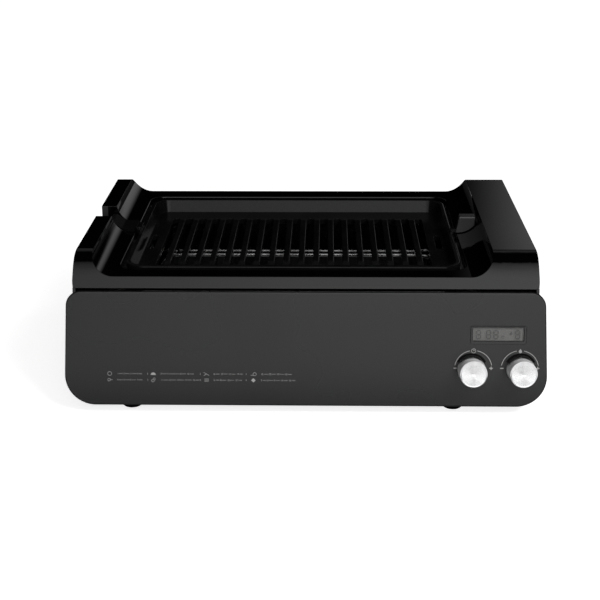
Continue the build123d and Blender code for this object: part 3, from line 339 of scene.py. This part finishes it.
def tray_finish(name):
    """Dark baked enamel inside the tray, with the rolled rim left as bright steel."""
    material, shader, surface = new_material(name)
    here = shader.place()
    parts = shader.add("ShaderNodeSeparateXYZ")
    shader.link(here, parts.inputs["Vector"])
    rim_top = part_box("drip_tray")[1].z
    rim = shader.spread(parts.outputs["Z"], 0.0, 1.0, (rim_top - TRAY_RIM_BAND, rim_top - TRAY_RIM_BAND / 2))
    cloud = shader.noise(here, 26.0, 3.0)
    fleck = shader.spread(shader.noise(here, 1500.0, 1.0), 0.0, 1.0, (0.70, 0.78))
    enamel = shader.mix(shader.spread(cloud, 0.0, 1.0), (0.010, 0.010, 0.011), (0.020, 0.020, 0.021))
    enamel = shader.mix(fleck, enamel, (0.05, 0.05, 0.052))
    shader.link(shader.mix(rim, enamel, (0.95, 0.95, 0.94)), surface.inputs["Base Color"])
    shader.link(rim, surface.inputs["Metallic"])
    shader.link(shader.spread(cloud, 0.10, 0.18), surface.inputs["Roughness"])
    fine = shader.noise(here, 420.0, 2.0)
    shader.link(shader.bump(fine, TRAY_RELIEF, 1.0, shader.rounded(TRAY_EDGE)), surface.inputs["Normal"])
    return material


def spun_aluminium(name, axis_place):
    """Knob cap: concentric turning lines about the knob's own axis, bright and slightly directional, with a
    painted sheen in sectors round the axis.
    """
    material, shader, surface = new_material(name)
    surface.inputs["Anisotropic"].default_value = 0.75
    coordinates = shader.add("ShaderNodeTexCoord")
    centred = shader.add("ShaderNodeMapping", vector_type="POINT")
    centred.inputs["Location"].default_value = Matrix.Rotation(-tilt, 3, "X") @ -axis_place
    centred.inputs["Rotation"].default_value = (-tilt, 0, 0)
    shader.link(coordinates.outputs["Object"], centred.inputs["Vector"])
    parts = shader.add("ShaderNodeSeparateXYZ")
    shader.link(centred.outputs["Vector"], parts.inputs["Vector"])
    squares = [shader.math("POWER", parts.outputs[axis], 2.0) for axis in "XZ"]
    radius = shader.math("SQRT", shader.math("ADD", *squares), 0.0)
    rings = shader.add("ShaderNodeTexNoise", noise_dimensions="1D")
    rings.inputs["Scale"].default_value = 5200.0
    rings.inputs["Detail"].default_value = 3.0
    shader.link(radius, rings.inputs["W"])
    # Painted sheen: the colour changes in sectors round the axis, standing in for the radial highlights of the
    # spun face
    angle = shader.math("ARCTAN2", parts.outputs["X"], parts.outputs["Z"])
    sheen_sectors = shader.add("ShaderNodeTexNoise", noise_dimensions="1D")
    sheen_sectors.inputs["Scale"].default_value = 2.6
    sheen_sectors.inputs["Detail"].default_value = 3.0
    shader.link(angle, sheen_sectors.inputs["W"])
    tone = shader.mix(shader.spread(sheen_sectors.outputs["Fac"], 0.0, 1.0), (0.90, 0.90, 0.91), (0.98, 0.98, 0.98))
    shader.link(shader.mix(shader.edges(CAP_EDGE), tone, (0.92, 0.92, 0.92)), surface.inputs["Base Color"])
    side = shader.spread(radius, 0.0, 1.0, (KNOB_FACE_RADIUS, KNOB_FACE_RADIUS + ARC_STROKE))
    shader.link(shader.spread(side, 1.0, 0.15, (0, 1)), surface.inputs["Metallic"])
    rough = shader.spread(rings.outputs["Fac"], 0.24, 0.36)
    shader.link(shader.math("ADD", rough, shader.math("MULTIPLY", side, 0.2)), surface.inputs["Roughness"])
    tangent = shader.add("ShaderNodeTangent", direction_type="RADIAL", axis="Y")
    shader.link(tangent.outputs["Tangent"], surface.inputs["Tangent"])
    relief = shader.bump(rings.outputs["Fac"], CAP_RELIEF, 1.0, shader.rounded(CAP_EDGE))
    shader.link(relief, surface.inputs["Normal"])
    return material


def framed_bezel(name):
    """Black moulded frame: a soft sheen on its face, and edges painted darker and less glossy, as painted
    shade that reads as a dark line.
    """
    material, shader, surface = new_material(name)
    here = shader.place()
    fine = shader.noise(here, 900.0, 2.0)
    # Painted shade: the edges are darkened in colour, so that the frame's rim reads as a dark outline
    edge = shader.edges(BEZEL_EDGE, 0.01, 0.06)
    tone = shader.mix(edge, (0.019, 0.019, 0.019), (0.0015, 0.0015, 0.0015))
    shader.link(tone, surface.inputs["Base Color"])
    shader.link(shader.spread(edge, 0.5, 0.06, (0, 1)), surface.inputs["Specular IOR Level"])
    shader.link(shader.spread(fine, 0.28, 0.34), surface.inputs["Roughness"])
    shader.link(shader.bump(fine, BEZEL_RELIEF), surface.inputs["Normal"])
    return material


def clear(name, color, alpha, roughness):
    """Thin clear plastic or quartz, with a faint film on it."""
    material, shader, surface = new_material(name)
    surface.inputs["Alpha"].default_value = alpha
    here = shader.place()
    film = shader.noise(here, 40.0, 3.0)
    tone = shader.mix(shader.spread(film, 0.0, 1.0), color, tuple(c * 0.9 for c in color))
    shader.link(tone, surface.inputs["Base Color"])
    shader.link(shader.spread(film, roughness, roughness + 0.05), surface.inputs["Roughness"])
    return material


def ink(name, color, roughness=0.5):
    """Screen-printed ink with slightly uneven cover."""
    material, shader, surface = new_material(name)
    here = shader.place()
    cover = shader.noise(here, 2400.0, 2.0)
    tone = shader.mix(shader.spread(cover, 0.0, 1.0), color, tuple(c * 0.82 for c in color))
    shader.link(tone, surface.inputs["Base Color"])
    shader.link(shader.spread(cover, roughness - 0.05, roughness + 0.05), surface.inputs["Roughness"])
    return material


# Finishes of the CAD nodes
def dress(material, *names):
    for name in names:
        mesh = nodes[name].data
        mesh.materials.clear()
        mesh.materials.append(material)


def both(text):
    return [text.replace("SIDE", side) for side in ("left", "right")]


def each_knob(text):
    return [text.replace("KNOB", knob) for knob in KNOB_PRINTS]


def dress_nodes():
    dress(satin_panel("fascia_satin"), "front_panel")
    dress(gloss_black("housing_gloss"), "top_housing")
    dress(moulded("base_texture", (0.022, 0.022, 0.0225), 0.42), "base_housing", "bottom_cover")
    dress(nonstick("plate_nonstick"), "grill_plate")
    dress(moulded("tab_satin", (0.018, 0.018, 0.0185), 0.30, depth=TAB_RELIEF, spread=0.02), "lift_tab_right")
    # The left tab is a darker, less glossy copy of the right tab's moulding: painted shade
    dress(moulded("tab_painted_shade", (0.002, 0.002, 0.0021), 0.34, spread=0.02, specular=0.04), "lift_tab_left")
    dress(metal("liner_steel", (0.24, 0.24, 0.24), 0.10, (1, 14, 1)), "well_liner")
    dress(metal("probe_steel", (0.50, 0.49, 0.48), 0.16, (1, 14, 1)), "thermal_cutout", "temperature_sensor")
    dress(tray_finish("tray_enamel"), "drip_tray")
    wire = metal("wire_steel", (0.6, 0.6, 0.6), 0.3)
    dress(wire, *both("heater_guard_SIDE"), *both("heater_brackets_SIDE"))
    dress(metal("reflector_aluminium", (0.85, 0.85, 0.86), 0.16, (1, 10, 1)), *both("reflector_SIDE"))
    dress(metal("heatsink_aluminium", (0.7, 0.7, 0.72), 0.35, (1, 1, 12)), "heatsink")
    dress(metal("shaft_steel", (0.62, 0.62, 0.63), 0.3, (1, 12, 1)), *each_knob("KNOB_shaft"))
    dress(metal("contact_brass", (0.72, 0.55, 0.26), 0.25, (1, 12, 1)), "inlet_pins")
    zinc = metal("zinc_screw", (0.5, 0.51, 0.53), 0.36, stain=0.7)
    dress(zinc, "tab_rivets", *[name for name in nodes if name.endswith("_screws")])
    dress(clear("quartz_tube", (0.8, 0.76, 0.7), 0.45, 0.05), *both("heater_tube_SIDE"))
    dress(moulded("ceramic_cap", (0.62, 0.6, 0.55), 0.6), *both("heater_caps_SIDE"))
    rubber = moulded("foot_rubber", (0.002, 0.002, 0.002), 0.6, grain=1400.0, specular=0.05)
    dress(rubber, *[name for name in nodes if name.startswith("foot_") and not name.endswith("screws")])
    dress(moulded("board_green", (0.02, 0.10, 0.045), 0.35), "control_board", "power_board")
    parts = moulded("component_plastic", (0.02, 0.02, 0.022), 0.4)
    dress(parts, "relay", "triac", "capacitor", "inlet_socket", *each_knob("KNOB_plunger"))
    dress(parts, *each_knob("KNOB_encoder"))
    # Black plastic core, made near-black and matt beyond the other plastic parts: partly its own colour,
    # partly painted shade round the knob foot
    dress(moulded("core_black_and_shade", (0.002, 0.002, 0.002), 0.6, specular=0.06), *each_knob("KNOB_knob_core"))
    dress(moulded("terminal_grey", (0.16, 0.17, 0.17), 0.45), "terminal_block")
    dress(framed_bezel("bezel_black"), "display_bezel")
    glass = moulded("display_glass_grey", (0.236, 0.236, 0.228), 0.35, grain=1200.0, lift=1.0)
    dress(glass, "display_module")
    dress(clear("display_window", (0.05, 0.05, 0.05), 0.12, 0.06), "display_lens")
    for knob in KNOB_PRINTS:
        low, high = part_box(f"{knob}_knob_cap")
        dress(spun_aluminium(f"{knob}_spun_aluminium", (low + high) / 2), f"{knob}_knob_cap")


# Prints on the front panel, drawn in the panel's own plane
def on_panel(x, height, lift):
    return PANEL_FOOT + Vector((x, 0, 0)) + panel_up * height + panel_out * lift


class Print:
    """Thin closed slabs of ink, each from a convex outline in panel coordinates."""

    def __init__(self, sink=0.0):
        self.mesh = bmesh.new()
        self.low = PRINT_LIFT - sink
        self.high = self.low + PRINT_THICKNESS

    def slab(self, points):
        bottom = [self.mesh.verts.new(on_panel(x, y, self.low)) for x, y in points]
        top = [self.mesh.verts.new(on_panel(x, y, self.high)) for x, y in points]
        self.mesh.faces.new(top)
        self.mesh.faces.new(bottom[::-1])
        count = len(points)
        for index in range(count):
            after = (index + 1) % count
            self.mesh.faces.new((bottom[index], bottom[after], top[after], top[index]))

    def bar(self, start, end, width):
        along = (Vector(end) - Vector(start)).normalized()
        across = Vector((-along.y, along.x)) * width / 2
        corners = [Vector(start) - across, Vector(end) - across, Vector(end) + across, Vector(start) + across]
        self.slab([tuple(corner) for corner in corners])

    def arc(self, centre, radius, width, start, end, steps=24):
        """A ring piece between two angles, clockwise from the top, as one strip of quads."""
        angles = [math.radians(start + (end - start) * index / steps) for index in range(steps + 1)]
        rows = []
        for angle in angles:
            across, up = math.sin(angle), math.cos(angle)
            rows.append([
                self.mesh.verts.new(on_panel(centre[0] + across * r, centre[1] + up * r, lift))
                for r, lift in (
                    (radius - width / 2, self.low), (radius + width / 2, self.low),
                    (radius + width / 2, self.high), (radius - width / 2, self.high),
                )
            ])
        closed = abs(end - start) >= 360
        if closed:
            for vertex in rows.pop():
                self.mesh.verts.remove(vertex)
        last = len(rows) if closed else len(rows) - 1
        for index in range(last):
            first, second = rows[index], rows[(index + 1) % len(rows)]
            for side in range(4):
                after = (side + 1) % 4
                self.mesh.faces.new((first[side], first[after], second[after], second[side]))
        if not closed:
            self.mesh.faces.new(rows[0][::-1])
            self.mesh.faces.new(rows[-1])

    def disc(self, centre, radius, steps=20):
        turn = math.tau / steps
        self.slab([
            (centre[0] + radius * math.sin(turn * i), centre[1] + radius * math.cos(turn * i))
            for i in range(steps)
        ])

    def drop(self, centre, width, height):
        """A drop with its point up: the lower part is round."""
        radius = width / 2
        centre_y = centre[1] - height / 2 + radius
        tip = centre[1] + height / 2
        meet = math.asin(radius / (tip - centre_y))
        start = math.pi / 2 - meet
        steps = 14
        points = [(centre[0], tip)]
        for index in range(steps + 1):
            angle = start + (math.tau - 2 * start) * index / steps
            points.append((centre[0] + radius * math.sin(angle), centre_y + radius * math.cos(angle)))
        self.slab(points[::-1])

    def clock(self, centre, radius, width):
        self.arc(centre, radius - width / 2, width, 0, 360)
        for across_share, up_share in CLOCK_HAND_SHARES:
            self.bar(centre, (centre[0] + radius * across_share, centre[1] + radius * up_share), width)

    def digit(self, centre, size, stroke, figure=8):
        """A seven-segment figure."""
        lit = {
            0: "abcdef", 1: "bc", 2: "abged", 3: "abgcd", 4: "fgbc",
            5: "afgcd", 6: "afgedc", 7: "abc", 8: "abcdefg", 9: "abcdfg",
        }[figure]
        half = size[0] / 2 - stroke / 2
        tall = size[1] / 2 - stroke / 2
        gap = stroke * SEGMENT_GAP_SHARE
        ends = {
            "a": ((-half + gap, tall), (half - gap, tall)),
            "g": ((-half + gap, 0.0), (half - gap, 0.0)),
            "d": ((-half + gap, -tall), (half - gap, -tall)),
            "b": ((half, gap), (half, tall - gap)),
            "c": ((half, -tall + gap), (half, -gap)),
            "f": ((-half, gap), (-half, tall - gap)),
            "e": ((-half, -tall + gap), (-half, -gap)),
        }
        for segment in lit:
            first, second = ends[segment]
            self.bar(
                (centre[0] + first[0], centre[1] + first[1]),
                (centre[0] + second[0], centre[1] + second[1]),
                stroke,
            )

    def finish(self, name, material):
        bmesh.ops.recalc_face_normals(self.mesh, faces=self.mesh.faces)
        data = bpy.data.meshes.new(name)
        self.mesh.to_mesh(data)
        self.mesh.free()
        data.materials.append(material)
        piece = bpy.data.objects.new(name, data)
        bpy.context.scene.collection.objects.link(piece)
        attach(piece, "root")
        return piece


def print_dials(material):
    """Scale arcs, minus and plus signs, and a clock and a drop above the knobs."""
    marks = Print()
    for knob, x in KNOB_PRINTS.items():
        centre = (x, ARC_HEIGHT)
        for side in (-1, 1):
            marks.arc(centre, ARC_RADIUS, ARC_STROKE, side * ARC_FROM, side * ARC_TO)
            for limit in (ARC_FROM, ARC_TO):
                angle = math.radians(side * limit)
                dot = (x + ARC_RADIUS * math.sin(angle), ARC_HEIGHT + ARC_RADIUS * math.cos(angle))
                marks.disc(dot, ARC_STROKE * ARC_END_SHARE, 12)
            left = (x + side * SIGN_REACH - SIGN_LENGTH / 2, SIGN_HEIGHT)
            right = (x + side * SIGN_REACH + SIGN_LENGTH / 2, SIGN_HEIGHT)
            marks.bar(left, right, SIGN_STROKE)
            if side > 0:
                middle = x + side * SIGN_REACH
                for direction in (-1, 1):
                    foot = SIGN_HEIGHT + direction * SIGN_STROKE / 2
                    end = SIGN_HEIGHT + direction * SIGN_LENGTH / 2
                    marks.bar((middle, foot), (middle, end), SIGN_STROKE)
        if knob == "timer":
            marks.clock((x, MARK_HEIGHT), DIAL_CLOCK_RADIUS, DIAL_CLOCK_STROKE)
        else:
            marks.drop((x, MARK_HEIGHT), *DIAL_DROP_SIZE)
    return marks.finish("dial_marks", material)


def print_dial_bands(material):
    """Painted shade: a dark band inside each scale arc, above the knob, where the knob's shadow falls on the
    panel.
    """
    marks = Print()
    for x in KNOB_AXES:
        marks.arc((x, KNOB_AXIS_HEIGHT), SHADE_BAND_RADIUS, SHADE_BAND_WIDTH, -SHADE_BAND_REACH, SHADE_BAND_REACH, 48)
    return marks.finish("painted_knob_shade", material)


def print_display(material):
    """Unlit segments of the display, a small clock and a drop."""
    marks = Print(LENS_SINK)
    for x in DIGIT_PLACES:
        marks.digit((x, DIGIT_LEVEL), (DIGIT_WIDTH, DIGIT_HEIGHT), DIGIT_STROKE)
    marks.clock(DISPLAY_CLOCK, DISPLAY_CLOCK_RADIUS, DISPLAY_CLOCK_STROKE)
    marks.drop(DISPLAY_DROP, *DISPLAY_DROP_SIZE)
    return marks.finish("display_segments", material)


# Each legend entry: a plain icon, and plain numbers along a scale
LEGEND_ROWS = (
    (
        ("ring", (1, 2, 3, 4)), ("half", (2, 4, 6, 8, 10)),
        ("cross", (8, 10, 12, 14)), ("pair", (10, 20, 30, 40)),
    ),
    (
        ("oval", (4, 5, 6, 7)), ("slant", (11, 12, 13, 14, 15)),
        ("bars", (6, 8, 10, 12)), ("diamond", (3, 6, 9, 12, 15)),
    ),
)


def legend_icon(marks, kind, x, y):
    size = LEGEND_ICON
    stroke = LEGEND_STROKE * 1.4
    if kind == "ring":
        marks.arc((x, y), size * 0.75, stroke, 0, 360)
    elif kind == "half":
        turn = math.pi / 12
        angles = [turn * i for i in range(13)]
        marks.slab([(x - size * math.cos(a), y - size / 2 + size * math.sin(a)) for a in reversed(angles)])
    elif kind == "cross":
        marks.bar((x - size, y + size * 0.6), (x + size, y - size * 0.6), stroke)
        marks.bar((x - size, y - size * 0.6), (x - size * 0.1, y - size * 0.15), stroke)
    elif kind == "pair":
        marks.arc((x + size * 0.5, y), size * 0.6, stroke, 0, 360)
        marks.bar((x - size, y - size * 0.4), (x - size * 0.2, y - size * 0.4), stroke)
    elif kind == "oval":
        marks.arc((x - size * 0.3, y), size * 0.5, stroke, 0, 360)
        marks.bar((x + size * 0.3, y), (x + size, y), stroke)
    elif kind == "slant":
        marks.arc((x - size * 0.2, y - size * 0.3), size * 0.5, stroke, 0, 360)
        marks.arc((x + size * 0.35, y + size * 0.35), size * 0.4, stroke, 0, 360)
    elif kind == "bars":
        for step in (-1, 0, 1):
            level = y + step * size * 0.45
            marks.bar((x - size * 0.8, level), (x + size * 0.9, level), stroke)
    else:
        marks.slab([(x, y - size * 0.8), (x + size * 0.9, y), (x, y + size * 0.8), (x - size * 0.9, y)])


def print_legend(material):
    """Two rows of plain icons with plain numbers and scale ticks, and short dividers."""
    marks = Print()
    width, height = LEGEND_DIGIT
    for level, row in zip(LEGEND_LEVELS, LEGEND_ROWS):
        for column, (kind, numbers) in zip(LEGEND_COLUMNS, row):
            legend_icon(marks, kind, column, level)
            x = column + LEGEND_TEXT_OFFSET
            for number in numbers:
                for figure in str(number):
                    marks.digit((x + width / 2, level), LEGEND_DIGIT, LEGEND_STROKE, int(figure))
                    x += width * LEGEND_STEP_SHARE
                for tick in range(LEGEND_TICKS):
                    x += width * LEGEND_TICK_SHARE
                    foot = (x, level - height * TICK_FOOT_SHARE)
                    marks.bar(foot, (x, level + height * TICK_TOP_SHARE), LEGEND_STROKE)
                x += width * LEGEND_GAP_SHARE
        for x in LEGEND_DIVIDERS:
            marks.bar((x, level - height / 2), (x, level + height / 2), LEGEND_STROKE)
    return marks.finish("legend_marks", material)


# Studio
FLOOR_REACH = 12.0
FLOOR_GLOW = 0.80
FLOOR_TONE = 0.80
FLOOR_FAR_GLOW = 1.0
FLOOR_FAR_TONE = 0.22
FLOOR_FADE = (0.60, 0.95)
FLOOR_NEAR_MIDDLE = (0.0, 0.40, 0.0)
FLOOR_MIRROR = 1.0
FLOOR_MIRROR_FROM = (-0.62, -0.40)
FLOOR_MIRROR_DULL = 0.7
FLOOR_MIRROR_ROUND = 1.1
FLOOR_BEHIND = (0.30, 0.50)
FLOOR_BEHIND_END = (0.70, 0.90)
FLOOR_ROUND_WIDTH = (0.30, 0.45)
FLOOR_BESIDE = (0.40, 0.60)
FLOOR_BESIDE_END = (0.80, 0.95)


def studio_sheet(name, corners):
    """A flat four-cornered piece of the studio, with an empty material of its own."""
    data = bpy.data.meshes.new(name)
    mesh = bmesh.new()
    mesh.faces.new([mesh.verts.new(corner) for corner in corners])
    mesh.to_mesh(data)
    mesh.free()
    sheet = bpy.data.objects.new(name, data)
    bpy.context.scene.collection.objects.link(sheet)
    material = bpy.data.materials.new(name)
    material.use_nodes = True
    data.materials.append(material)
    return sheet, Shader(material.node_tree)


def make_floor():
    """A wide white floor that keeps the object's soft shadow, and that the object's faces mirror."""
    corners = [(-1, -1), (1, -1), (1, 1), (-1, 1)]
    floor, shader = studio_sheet("studio_floor", [(x * FLOOR_REACH, y * FLOOR_REACH, 0.0) for x, y in corners])
    shifted = shader.add("ShaderNodeVectorMath", operation="ADD")
    shifted.inputs[1].default_value = FLOOR_NEAR_MIDDLE
    shader.link(shader.place(), shifted.inputs[0])
    distance = shader.add("ShaderNodeVectorMath", operation="LENGTH")
    shader.link(shifted.outputs["Vector"], distance.inputs[0])
    near = shader.spread(distance.outputs["Value"], 1.0, 0.0, FLOOR_FADE)
    diffuse = shader.add("ShaderNodeBsdfDiffuse")
    glow = shader.add("ShaderNodeEmission")
    rays = shader.add("ShaderNodeLightPath")
    tone = shader.spread(near, FLOOR_FAR_TONE, FLOOR_TONE, (0, 1))
    dull = shader.spread(rays.outputs["Is Glossy Ray"], 1.0, 1.0 - FLOOR_MIRROR_DULL, (0, 1))
    shader.link(shader.math("MULTIPLY", tone, dull), diffuse.inputs["Color"])
    parts = shader.add("ShaderNodeSeparateXYZ")
    shader.link(shader.place(), parts.inputs["Vector"])
    ahead = shader.spread(parts.outputs["Y"], FLOOR_MIRROR, 0.0, FLOOR_MIRROR_FROM)
    seen = shader.spread(near, FLOOR_FAR_GLOW, FLOOR_GLOW, (0, 1))
    direct = shader.math("MULTIPLY", rays.outputs["Is Camera Ray"], seen)
    mirrored = shader.math("MAXIMUM", rays.outputs["Is Glossy Ray"], rays.outputs["Is Transmission Ray"])
    depth = parts.outputs["Y"]
    sideways = shader.math("ABSOLUTE", parts.outputs["X"], 0.0)
    behind = shader.within(depth, FLOOR_BEHIND, FLOOR_BEHIND_END)
    behind = shader.math("MULTIPLY", behind, shader.spread(sideways, 1.0, 0.0, FLOOR_ROUND_WIDTH))
    beside = shader.within(sideways, FLOOR_BESIDE, FLOOR_BESIDE_END)
    beside = shader.math("MULTIPLY", beside, shader.within(depth, FLOOR_MIRROR_FROM, FLOOR_ROUND_WIDTH))
    around = shader.math("MULTIPLY", shader.math("MAXIMUM", behind, beside), FLOOR_MIRROR_ROUND)
    bright = shader.math("MAXIMUM", around, shader.math("MULTIPLY", near, ahead))
    mirrored = shader.math("MULTIPLY", mirrored, bright)
    shader.link(shader.math("MAXIMUM", direct, mirrored), glow.inputs["Strength"])
    both_shaders = shader.add("ShaderNodeAddShader")
    output = shader.add("ShaderNodeOutputMaterial")
    shader.link(diffuse.outputs["BSDF"], both_shaders.inputs[0])
    shader.link(glow.outputs["Emission"], both_shaders.inputs[1])
    shader.link(both_shaders.outputs["Shader"], output.inputs["Surface"])


# Brightness of the tent round the object, from the front (y of the direction is -1) to the rear
TENT_STOPS = (
    (-1.0, 1.84), (-0.80, 1.48), (-0.70, 1.20), (-0.55, 0.72), (-0.37, 0.42), (-0.30, 0.25), (-0.25, 0.0),
    (0.62, 0.0), (0.80, 0.14), (0.90, 0.14), (0.915, 0.0),
)
TENT_SIDES = (0.32, 0.48)
SIDE_LEAN = 0.80
LEAN_REACH = 0.6

REAR_BOX_DISTANCE = 4.6
REAR_BOX_X = (0.64, 1.30, 1.34, 1.58)
REAR_BOX_Z = (0.0, 1.7, 3.0)
REAR_BOX_GLOW = 0.40


def make_world():
    """A soft tent, white to the camera: bright in front, brighter on the right, and dim behind."""
    world = bpy.data.worlds.new("studio_tent")
    bpy.context.scene.world = world
    world.use_nodes = True
    shader = Shader(world.node_tree)
    coordinates = shader.add("ShaderNodeTexCoord")
    parts = shader.add("ShaderNodeSeparateXYZ")
    shader.link(coordinates.outputs["Generated"], parts.inputs["Vector"])
    depth = shader.spread(parts.outputs["Y"], 0.0, 1.0, (-1.0, 1.0))
    ramp = shader.add("ShaderNodeValToRGB")
    steps = ramp.color_ramp.elements
    while len(steps) < len(TENT_STOPS):
        steps.new(1.0)
    for step, (place, value) in zip(steps, TENT_STOPS):
        step.position = (place + 1) / 2
        step.color = (value, value, value, 1)
    shader.link(depth, ramp.inputs["Fac"])
    lean = shader.spread(parts.outputs["X"], 1.0 - SIDE_LEAN, 1.0 + SIDE_LEAN, (-LEAN_REACH, LEAN_REACH))
    width = shader.math("ABSOLUTE", parts.outputs["X"], 0.0)
    open_front = shader.math("MULTIPLY", lean, shader.spread(width, 1.0, 0.0, TENT_SIDES))
    background = shader.add("ShaderNodeBackground")
    background.inputs["Color"].default_value = (1, 1, 1, 1)
    output = shader.add("ShaderNodeOutputWorld")
    rays = shader.add("ShaderNodeLightPath")
    tent = shader.math("MULTIPLY", ramp.outputs["Color"], open_front)
    shader.link(shader.math("MAXIMUM", tent, rays.outputs["Is Camera Ray"]), background.inputs["Strength"])
    shader.link(background.outputs["Background"], output.inputs["Surface"])


def make_rear_box():
    """A tall softbox far behind on the right, which only the glossy surfaces see."""
    left, right = REAR_BOX_X[0], REAR_BOX_X[-1]
    low, high = REAR_BOX_Z[0], REAR_BOX_Z[-1]
    corners = [(left, low), (right, low), (right, high), (left, high)]
    box, shader = studio_sheet("rear_softbox", [(x, REAR_BOX_DISTANCE, z) for x, z in corners])
    box.visible_camera = False
    box.visible_diffuse = False
    box.visible_shadow = False
    parts = shader.add("ShaderNodeSeparateXYZ")
    shader.link(shader.place(), parts.inputs["Vector"])
    width = shader.within(parts.outputs["X"], REAR_BOX_X[:2], REAR_BOX_X[2:], "SMOOTHSTEP")
    height = shader.spread(parts.outputs["Z"], REAR_BOX_GLOW, 0.0, REAR_BOX_Z[1:])
    glow = shader.add("ShaderNodeEmission")
    shader.link(shader.math("MULTIPLY", width, height), glow.inputs["Strength"])
    output = shader.add("ShaderNodeOutputMaterial")
    shader.link(glow.outputs["Emission"], output.inputs["Surface"])


KEY_PLACE = (1.5, -1.7, 2.1)
KEY_AIM = (0, 0, 0.08)
KEY_SIZE = (0.9, 0.9)
KEY_POWER = 45


def make_lamp(name, place, aim, size, power):
    """A soft area lamp that the object doesn't mirror."""
    data = bpy.data.lights.new(name, "AREA")
    data.shape = "RECTANGLE"
    data.size, data.size_y = size
    data.energy = power
    lamp = bpy.data.objects.new(name, data)
    bpy.context.scene.collection.objects.link(lamp)
    lamp.location = place
    lamp.rotation_mode = "QUATERNION"
    lamp.rotation_quaternion = (Vector(aim) - Vector(place)).to_track_quat("-Z", "Y")
    lamp.visible_glossy = False


make_camera()
make_world()
make_floor()
make_rear_box()
make_lamp("key_softbox", KEY_PLACE, KEY_AIM, KEY_SIZE, KEY_POWER)
dress_nodes()
white_ink = ink("white_ink", (0.42, 0.42, 0.41))
print_dials(white_ink)
print_legend(white_ink)
# The bands above the knobs are painted shade, printed in a near-black matt ink
print_dial_bands(moulded("painted_shade_ink", (0.003, 0.003, 0.003), 0.6, specular=0.06))
print_display(ink("segment_film", (0.078, 0.078, 0.076), 0.3))

scene = bpy.context.scene
scene.view_settings.view_transform = "Standard"
